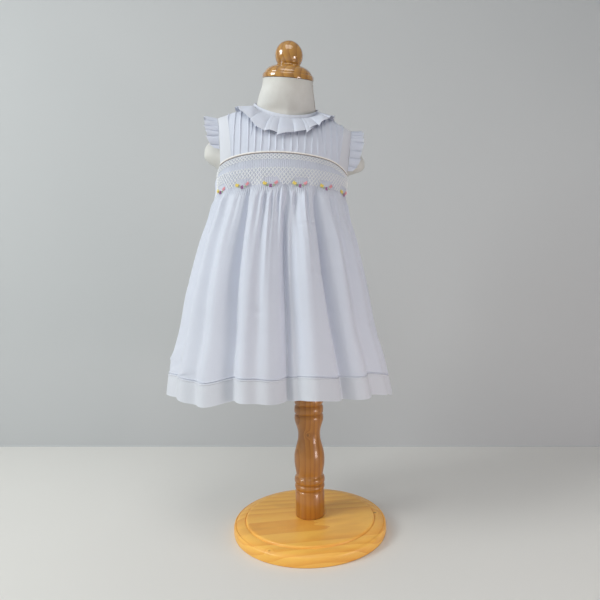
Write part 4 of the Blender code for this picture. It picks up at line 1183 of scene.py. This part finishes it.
class Yokes:
    """The pin-tucked front yoke and the plain, buttoned back yokes."""

    TUCKS = 18
    TUCK_PITCH = 0.0099
    BACK_LAP = 0.009
    THICKNESS = 0.0008

    def __init__(self, shape: DressShape) -> None:
        self.shape = shape

    def tucks(self, x: Array, down: Array) -> Array:
        """Pin tucks: narrow ridges, steeper on the side they are pressed towards."""
        relief = np.zeros_like(x)
        for number in range(self.TUCKS):
            place = (self.TUCK_PITCH * (number - (self.TUCKS - 1) / 2)
                     + 0.7 * MM * math.sin(2.3 * number))
            off = x - place - 0.35 * MM * np.sin(5 * down + number)
            relief += 1.45 * MM * np.where(off < 0, bump(off, 1.10 * MM), bump(off, 0.42 * MM))
        return relief

    def build_front(self, maker: MeshMaker) -> bpy.types.Object:
        """Makes the front yoke with its tucks and its armhole facings."""
        grid = self.shape.yoke(-1, 230, 90, 54)
        normal = maker.normals(grid, False)
        down = np.broadcast_to(np.linspace(0, 1, grid.shape[0])[:, None], grid.shape[:2])
        x, edge = grid[..., 0], np.abs(grid[:, -1:, 0])
        from_edge = edge - np.abs(x)
        inner = 0.0125 + 0.0035 * down ** 2
        facing = 1 - ease(from_edge, inner - 0.0006, inner + 0.0006)
        wrinkle = 0.35 * MM * np.sin(95 * x * 6 + 3 * down) * np.sin(math.pi * down)
        pinch = 1.1 * MM * bump(x + 0.079 - 0.006 * down, 0.0035) * ease(-down, -0.42, -0.02)
        relief = (self.tucks(x, down) * (1 - facing) + 0.5 * wrinkle * (1 - facing)
                  + 0.35 * MM * facing + 0.4 * MM * bump(from_edge - inner, 0.0007) + pinch)
        fade = ease(down, 0.0, 0.03) * ease(-down, -1.0, -0.985)
        outer = self.shape.settle(grid + normal * (relief * fade)[..., None])
        return maker.wall("front_yoke_cloth", outer, self.THICKNESS, ("front_yoke",), facing)

    def build_back(self, maker: MeshMaker) -> list[bpy.types.Object]:
        """Makes the two back yokes, the -X one lapped over the other."""
        back, lap = self.shape.back_yoke(), self.BACK_LAP
        x = back[0, :, 0]
        clear = 0.6 * MM           # no column lies nearer to the lap's edge than this
        under = np.concatenate((back[:, x > -lap + clear],
                                self.shape.column(back, -lap)[:, None]), axis=1)
        over = np.concatenate((self.shape.column(back, lap)[:, None],
                               back[:, x < lap - clear]), axis=1)
        lifted = ease(over[:1, :, 0], -lap - 0.012, -lap - 0.001)
        over[..., 1] += 0.0018 * lifted
        made = []
        for name, grid, node in (("back_yoke_under", under, "back_yoke_left"),
                                 ("back_yoke_over", over, "back_yoke_right")):
            ripple = 0.4 * MM * np.sin(310 * grid[..., 0]) * np.linspace(0, 1, len(grid))[:, None]
            edge = np.abs(grid[:, 0 if node.endswith("left") else -1, 0])[:, None]
            facing = 1 - ease(edge - np.abs(grid[..., 0]), 0.012, 0.0132)
            band = 1 - ease(np.abs(grid[..., 0]), lap, lap + 0.0012)
            dense = np.maximum(facing, band)
            plain = (1 - band) * (1 - facing)
            grid = grid + maker.normals(grid, False) * (ripple * plain)[..., None]
            made.append(maker.wall(name, self.shape.settle(grid), self.THICKNESS, (node,), dense))
        return made


FRILL_THICKNESS = 0.0005


def frill_layers(shares: Array, columns: int) -> Array:
    """How dense a frill looks: more along the narrow hem of its free edge."""
    return np.broadcast_to(0.1 + 0.3 * (shares > 0.9)[:, None], (len(shares), columns))


class NeckTrim:
    """The upright neckband and the pleated frill below it."""

    PLEATS = 28
    BAND_THICKNESS = 0.0011
    FRILL_END = math.radians(172.0)

    def __init__(self, shape: DressShape) -> None:
        self.shape = shape

    def build(self, maker: MeshMaker) -> list[bpy.types.Object]:
        """Makes both pieces."""
        angle = np.linspace(0, 2 * math.pi, 241)[:-1]
        seam = self.shape.neckline(angle)
        rise = self.shape.sizes.neckband_height * np.array((1.0, 0.93, 0.78, 0.5, 0.22, 0.0))
        swell = MM * np.array((-0.10, 0.16, 0.22, 0.20, 0.12, 0.0))
        lean = 1 - rise * 3.0
        band = seam[None] * np.stack((lean, lean, np.ones(6)), axis=1)[:, None]
        band[..., 2] += rise[:, None]
        puff = swell[:, None] + 0.12 * MM * np.sin(41 * angle)[None]
        band[..., 0] += puff * np.sin(angle)
        band[..., 1] -= puff * np.cos(angle)
        neckband = maker.wall("neckband_cloth", self.shape.settle(band), self.BAND_THICKNESS,
                              ("neckband",), np.full(band.shape[:2], 0.45), closed=True)

        # Pleats: each lies over the next, so a point's place along the seam runs ahead
        # and falls back once a pleat, more towards the free edge.
        phase = np.linspace(0, self.PLEATS, self.PLEATS * 16 + 1)
        uneven = phase + 0.46 * np.sin(1.7 * phase + 0.8) * np.sin(math.pi * phase / self.PLEATS)
        rows = []
        shares = np.array((0.0, 0.10, 0.25, 0.42, 0.60, 0.78, 0.92, 0.985, 1.0))
        for share in shares:
            fold = 0.12 + 0.17 * share
            along = uneven + fold * np.sin(2 * math.pi * phase)
            angle = (along / self.PLEATS * 2 - 1) * self.FRILL_END
            seam = self.shape.neckline(angle)
            turned = np.degrees(np.abs(angle))
            fuller = 1 + 0.26 * bump(np.degrees(angle) + 46, 24)
            stagger = 0.3 * MM * np.cos(2 * math.pi * phase + 1.9) + 0.9 * MM * np.sin(2.9 * phase)
            reach = NECK_FRILL.read("reach", turned) * fuller + stagger * share
            lift = NECK_FRILL.read("lift", turned)
            wave = 0.5 + 0.5 * np.cos(2 * math.pi * phase + 0.6)
            start = 0.0012
            out = start + (reach - start) * share
            x, y = seam[:, 0] + out * np.sin(angle), seam[:, 1] - out * np.cos(angle)
            off = (1.5 * MM + (lift * 0.75) * share ** 1.3 + wave * (0.5 + 2.3 * share) * MM
                   + 0.35 * MM * (share > 0.95))
            root = np.array((0.0, 0.0, 0.3 * MM)) * (1 - share) ** 2
            rows.append(self.shape.off_yokes(x, y, off) + root)
        frill = maker.wall("neck_frill_cloth", self.shape.settle(np.array(rows)), FRILL_THICKNESS,
                           ("neck_frill",), frill_layers(shares, len(phase)))
        return [neckband, frill]


class ArmholeFrill:
    """A pleated frill along one armhole, from its front over the shoulder to its back."""

    PLEATS = 14
    END = 0.96

    def __init__(self, shape: DressShape, side: float, start: float) -> None:
        self.shape, self.side, self.start = shape, side, start

    def build(self, maker: MeshMaker) -> bpy.types.Object:
        """Makes the frill."""
        phase = np.linspace(0, self.PLEATS, self.PLEATS * 16 + 1)
        uneven = phase + (0.34 * np.sin(1.9 * phase + self.side)
                          * np.sin(math.pi * phase / self.PLEATS))
        shares = np.array((0.0, 0.08, 0.22, 0.40, 0.60, 0.80, 0.93, 0.985, 1.0))
        rows = []
        for share in shares:
            fold = (0.10 + 0.20 * share) * np.sin(2 * math.pi * phase)
            place = np.clip((uneven + fold) / self.PLEATS, 0, 1)
            at = self.start + (self.END - self.start) * place
            edge = self.shape.armhole(at, self.side)
            over = np.stack((np.zeros_like(at), -np.cos(math.pi * at),
                             np.sin(math.pi * at)), axis=1)
            width = ARMHOLE_FRILL.read("width", place) * (1 + 0.05 * np.sin(2.3 * phase))
            row = edge.copy()
            row[:, 0] += self.side * (0.8 * MM + width * share)
            wave = np.cos(2 * math.pi * phase + 0.5)
            row += over * (wave * (0.4 + 2.2 * share) * MM)[:, None]
            row[:, 0] += self.side * 0.5 * MM * np.sin(2 * math.pi * phase) * share
            rows.append(row)
        grid = np.array(rows)
        if self.side < 0:
            grid = grid[:, ::-1]
        side = "left" if self.side < 0 else "right"
        return maker.wall(f"armhole_frill_{side}_cloth", self.shape.settle(grid), FRILL_THICKNESS,
                          (f"armhole_frill_{side}",), frill_layers(shares, len(phase)))


class Trims:
    """The piping in the yoke seam and the buttons on the back lap."""

    BUTTON_RADIUS = 0.0055
    BUTTON_HEIGHTS = (0.6110, 0.5900, 0.5690)

    def __init__(self, shape: DressShape) -> None:
        self.shape = shape

    def build_piping(self, maker: MeshMaker) -> None:
        """Makes the cord, and under it a thin dark taupe cord that is painted shadow below the
        piping.
        """
        sizes = self.shape.sizes
        angle = np.linspace(-sizes.seam_end, sizes.seam_end, 241)
        height = self.shape.seam_height(angle)
        out = outward(angle)
        # The second cord, dark taupe, is painted shadow: it stands for the shadow line under the
        # piping cord.
        for name, drop, stand, radius, finish, node in (
                ("piping_cord", -0.0003, 0.0001, 0.00105, "ecru_cord", ("yoke_piping",)),
                ("piping_shadow_line", 0.0011, 0.0002, 0.00050, "taupe_seam_and_shadow", ())):
            x, y = self.shape.section(angle, height - drop)
            path = np.stack((x, y, height - drop), axis=1) + out * stand
            radii = radius * (1 + 0.05 * np.sin(np.arange(len(angle)) * 0.9))
            maker.tubes(name, [self.shape.settle(path)], [out], [radii], 12, finish, "piping", node)

    def build_buttons(self, maker: MeshMaker) -> None:
        """Makes three dished buttons, each sewn on with a cross of thread."""
        centre = self.shape.column(self.shape.back_yoke(), 0.0)[::-1]
        radius = self.BUTTON_RADIUS
        profile = Table(PROFILE, (
            (0.0, 0.00130), (0.30 * radius, 0.00130), (0.55 * radius, 0.00140),
            (0.68 * radius, 0.00185), (0.78 * radius, 0.00225), (0.88 * radius, 0.00225),
            (0.96 * radius, 0.00180), (radius, 0.00115), (0.96 * radius, 0.00045),
            (0.85 * radius, 0.0), (0.0, 0.0)))
        for number, height in enumerate(self.BUTTON_HEIGHTS, start=1):
            y = np.interp(height, centre[:, 2], centre[:, 1])
            y_above = np.interp(height + 0.004, centre[:, 2], centre[:, 1])
            slope = math.atan2(y - y_above, 0.004)

            def place(points: Array, y=y, height=height, slope=slope) -> Array:
                x, across, out = points[..., 0], points[..., 1], points[..., 2] + 0.0036
                return self.shape.settle(np.stack(
                    (x, y + out * math.cos(slope) + across * math.sin(slope),
                     height + out * math.sin(slope) - across * math.cos(slope)), axis=-1))

            maker.lathe(f"button_{number}", profile, 48, "pearl_button", "button",
                        (f"back_button_{number}",), place, 50.0)
            s = np.linspace(-1, 1, 13)
            paths = [place(np.stack((0.0013 * s, 0.0013 * s * sign,
                                     0.0016 + 0.0004 * (1 - s ** 4)), axis=-1))
                     for sign in (-1, 1)]
            out = np.tile((0.0, math.cos(slope), math.sin(slope)), (len(s), 1))
            maker.tubes(f"button_{number}_thread", paths, [out, out],
                        [np.full(len(s), 0.28 * MM)] * 2, 6, "ecru_floss", "batiste")


# ------------------------------------------------------------------- form and stand

class DressForm:
    """The torso with its short shoulder caps and neck, its cap and its ball."""

    def __init__(self, shape: DressShape, sizes: FormSizes) -> None:
        self.shape, self.sizes = shape, sizes

    def on_neck(self, points: Array) -> Array:
        """Points given about the neck's sloping top, in place on the settled form."""
        sizes = self.sizes
        points = np.asarray(points, dtype=float)
        x, y, z = points[..., 0], points[..., 1], points[..., 2]
        cosine, sine = math.cos(sizes.neck_pitch), math.sin(sizes.neck_pitch)
        y, z = y * cosine - z * sine, y * sine + z * cosine
        cosine, sine = math.cos(sizes.neck_roll), math.sin(sizes.neck_roll)
        x, z = x * cosine + z * sine, -x * sine + z * cosine
        centre = self.shape.settle(np.array((0.0, sizes.neck_shift, sizes.neck_top)))
        return np.stack((x, y, z), axis=-1) + centre

    def rings(self, heights: Array, angle: Array) -> Array:
        """Settled outlines of the torso at some heights."""
        sizes = self.sizes
        height = np.broadcast_to(heights[:, None], (len(heights), len(angle)))
        read = {name: FORM_SECTIONS.read(name, height) for name in FORM_SECTIONS.columns[1:]}
        x, y = self.shape.oval(angle[None], read["half_width"], read["front"], read["back"],
                               read["taper"])
        off_side = np.arcsin(np.abs(np.cos(angle)))[None]
        above = height - sizes.cap_height
        half = np.where(above > 0, sizes.cap_above, sizes.cap_below)
        reach = np.where(np.sin(angle) > 0, sizes.right_reach, -sizes.left_reach)[None]
        x = x + reach * np.exp(-np.hypot(off_side / sizes.cap_spread, above / half) ** 3)
        z = height + y * np.tan(np.radians(read["pitch"]))
        rings = self.shape.settle(np.stack((x, y + read["shift"], z), axis=-1))
        flat = sizes.neck_radius * outward(angle) + (heights - sizes.neck_top)[:, None, None] * UP
        blend = ease(heights, 0.652, sizes.neck_top)[:, None, None]
        return rings * (1 - blend) + self.on_neck(flat) * blend

    def build(self, maker: MeshMaker) -> None:
        """Makes the torso, the seam down its neck, the cap and the ball."""
        sizes = self.sizes
        heights = np.concatenate((np.linspace(sizes.neck_top, 0.53, 90)[:-1],
                                  np.linspace(0.53, 0.312, 36)[:-1],
                                  np.linspace(0.312, sizes.bottom, 12)))
        angle = np.arange(144) * (2 * math.pi / 144)
        rings = self.rings(heights, angle)
        ends = np.stack((self.on_neck(np.zeros(3)),
                         self.shape.settle(np.array((0.0, 0.0, sizes.bottom)))))
        maker.turned("torso", rings, ends, "cream_cover", "form_cover", ("form_torso",), 70.0)

        turn = np.full(1, math.radians(74.0))
        line = self.rings(np.linspace(0.669, 0.616, 46), turn)[:, 0]
        out = np.tile((math.sin(turn[0]), -math.cos(turn[0]), 0.1), (len(line), 1))
        maker.tubes("neck_seam", [line + out * 0.0001], [out], [np.full(len(line), 0.00055)], 8,
                    "taupe_seam_and_shadow", "form_cover")

        def place_dome(points: Array) -> Array:
            return self.on_neck(points + np.array((0, 0, 0.0004)))

        maker.lathe("dome", DOME_PROFILE, 96, "dark_varnish", "dark_wood", ("neck_cap",),
                    place_dome)
        stem = math.acos(-math.sqrt(1 - (sizes.ball_neck / sizes.ball_radius) ** 2))
        bow = np.linspace(0, stem, 44)
        centre = -sizes.ball_radius * math.cos(stem) + 0.0012
        ball = [(sizes.ball_radius * math.sin(a), centre + sizes.ball_radius * math.cos(a))
                for a in bow]
        ball[0] = (0.0, centre + sizes.ball_radius)
        ball += [(sizes.ball_neck + 0.0004, 0.0008), (sizes.ball_neck + 0.0008, 0.0), (0.0, 0.0)]

        def place_ball(points: Array) -> Array:
            return self.on_neck(points + np.array((0, 0, sizes.dome_thickness + 0.0001)))

        maker.lathe("ball", Table(PROFILE, ball), 96, "dark_varnish", "dark_wood",
                    ("ball_finial",), place_ball)


class Stand:
    """The round base and the turned post."""

    def build(self, maker: MeshMaker) -> None:
        """Makes both pieces."""
        maker.lathe("base", BASE_PROFILE, 160, "honey_pine", "pine", ("stand_base",))
        maker.lathe("post", POST_PROFILE, 96, "pine_post_with_painted_shade", "pine", ("stand_post",))


# ---------------------------------------------------------------------------- stage

@dataclass(frozen=True)
class View:
    """The camera: where it stands about the post, and what it takes in."""

    azimuth: float = math.radians(8.0)
    aside: float = 0.01955
    distance: float = 0.7343
    height: float = 0.3472
    lens: float = 28.77
    shift: float = -1.0 / 30.0
    roll: float = 0.014

    def build(self) -> None:
        """Makes the scene's camera, level and turned a little about its own axis."""
        look = Vector((math.sin(self.azimuth), math.cos(self.azimuth), 0.0))
        right = Vector((math.cos(self.azimuth), -math.sin(self.azimuth), 0.0))
        up = Vector((0.0, 0.0, 1.0))
        place = right * self.aside - look * self.distance + up * self.height
        x = right * math.cos(self.roll) - up * math.sin(self.roll)
        y = up * math.cos(self.roll) + right * math.sin(self.roll)
        data = bpy.data.cameras.new("camera")
        data.lens, data.sensor_width, data.shift_x = self.lens, 36.0, self.shift
        data.clip_start, data.clip_end = 0.01, 20.0
        camera = bpy.data.objects.new("camera", data)
        rows = Matrix((x, y, -look)).transposed()
        camera.matrix_world = Matrix.Translation(place) @ rows.to_4x4()
        bpy.context.scene.collection.objects.link(camera)
        bpy.context.scene.camera = camera


@dataclass(frozen=True)
class Lamp:
    """One soft rectangular light: where it hangs and points, its size, watts and colour."""

    name: str
    place: tuple
    aim: tuple
    size: tuple
    power: float
    colour: tuple

    def build(self) -> None:
        """Makes the light."""
        data = bpy.data.lights.new(self.name, "AREA")
        data.shape, data.size, data.size_y = "RECTANGLE", *self.size
        data.energy, data.color = self.power, self.colour
        light = bpy.data.objects.new(self.name, data)
        way = Vector(self.aim) - Vector(self.place)
        light.matrix_world = (Matrix.Translation(Vector(self.place))
                              @ way.to_track_quat("-Z", "Y").to_matrix().to_4x4())
        bpy.context.scene.collection.objects.link(light)


class Studio:
    """A plain pale floor that turns up into a wall, and soft lights."""

    WALL = 0.405                 # how far the wall stands behind the post
    BEND = 0.004
    REACH = 6.0                  # how far the floor runs to the front and the sides
    TOP = 5.0
    AZIMUTH = math.radians(10.6)
    LAMPS = (
        Lamp("key", (-1.52, -0.50, 1.08), (-0.02, 0.0, 0.38), (0.60, 0.70), 17.5,
             (0.975, 1.0, 0.985)),
        Lamp("window", (-0.10, -0.70, 1.30), (0.05, -0.20, 0.0), (0.70, 0.60), 3.4,
             (1.0, 0.98, 0.95)),
        Lamp("low_right", (0.85, -0.80, 0.14), (0.05, 0.0, 0.16), (0.35, 0.25), 3.6,
             (1.0, 0.86, 0.84)))
    # Light all round, stronger from -X than from +X.
    FALL = (("From Min", -1.0), ("From Max", 1.0), ("To Min", 0.62), ("To Max", 0.26))
    SKY = (0.87, 0.90, 0.94, 1.0)

    def __init__(self, finishes: dict[str, bpy.types.Material]) -> None:
        self.finishes = finishes

    def backdrop(self) -> None:
        """Makes floor and wall as one sheet with a small bend, square to the view."""
        turn = np.linspace(0, math.pi / 2, 9)
        y = np.concatenate(([-self.REACH], self.WALL - self.BEND + self.BEND * np.sin(turn),
                            [self.WALL]))
        z = np.concatenate(([0.0], self.BEND - self.BEND * np.cos(turn), [self.TOP]))
        cosine, sine = math.cos(self.AZIMUTH), math.sin(self.AZIMUTH)
        across, depth = np.meshgrid((-self.REACH, self.REACH), y)
        grid = np.stack((across * cosine + depth * sine, depth * cosine - across * sine,
                         np.broadcast_to(z[:, None], (len(y), 2))), axis=-1)
        mesh = bpy.data.meshes.new("backdrop")
        faces = MeshMaker.quads(len(y), 2, False, 0, True)
        mesh.from_pydata(grid.reshape(-1, 3).tolist(), [], faces.tolist())
        mesh.materials.append(self.finishes["pale_stage"])
        mesh.materials.append(self.finishes["pale_wall"])
        index = np.ones(len(faces), dtype=np.int32)
        index[0] = 0
        mesh.polygons.foreach_set("material_index", index)
        made = bpy.data.objects.new("backdrop", mesh)
        bpy.context.scene.collection.objects.link(made)

    def build(self) -> None:
        """Makes the backdrop, the lights and the even light all round."""
        self.backdrop()
        world = bpy.data.worlds.new("soft")
        world.use_nodes = True
        nodes, links = world.node_tree.nodes, world.node_tree.links
        way, split = nodes.new("ShaderNodeTexCoord"), nodes.new("ShaderNodeSeparateXYZ")
        fall = nodes.new("ShaderNodeMapRange")
        links.new(way.outputs["Generated"], split.inputs[0])
        links.new(split.outputs[0], fall.inputs["Value"])
        for name, value in self.FALL:
            fall.inputs[name].default_value = value
        nodes["Background"].inputs["Color"].default_value = self.SKY
        links.new(fall.outputs[0], nodes["Background"].inputs["Strength"])
        bpy.context.scene.world = world
        for lamp in self.LAMPS:
            lamp.build()
        bpy.context.scene.view_settings.view_transform = "Standard"


# ------------------------------------------------------------------------- assembly


def main() -> None:
    """Builds the camera, the object and the studio, and notes the sizes."""
    logging.basicConfig(level=logging.INFO, format="%(message)s")
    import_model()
    View().build()
    finishes = {finish.name: finish.build() for finish in FINISHES}
    maker = MeshMaker(finishes)
    shape = DressShape(DressSizes())
    skirt = Skirt(shape, Smocking())
    made = skirt.build(maker)
    Embroidery(skirt).build(maker)
    yokes = Yokes(shape)
    made.append(yokes.build_front(maker))
    made += yokes.build_back(maker)
    made += NeckTrim(shape).build(maker)
    made.append(ArmholeFrill(shape, -1.0, 0.085).build(maker))
    made.append(ArmholeFrill(shape, 1.0, 0.015).build(maker))
    trims = Trims(shape)
    trims.build_piping(maker)
    trims.build_buttons(maker)
    DressForm(shape, FormSizes()).build(maker)
    Stand().build(maker)
    for piece in made:
        area = sum(polygon.area for polygon in piece.data.polygons)
        LOG.info("%s: %.4f m2 of faces, %d faces", piece.name, area, len(piece.data.polygons))
    Studio(finishes).build()


if __name__ == "__main__":
    main()
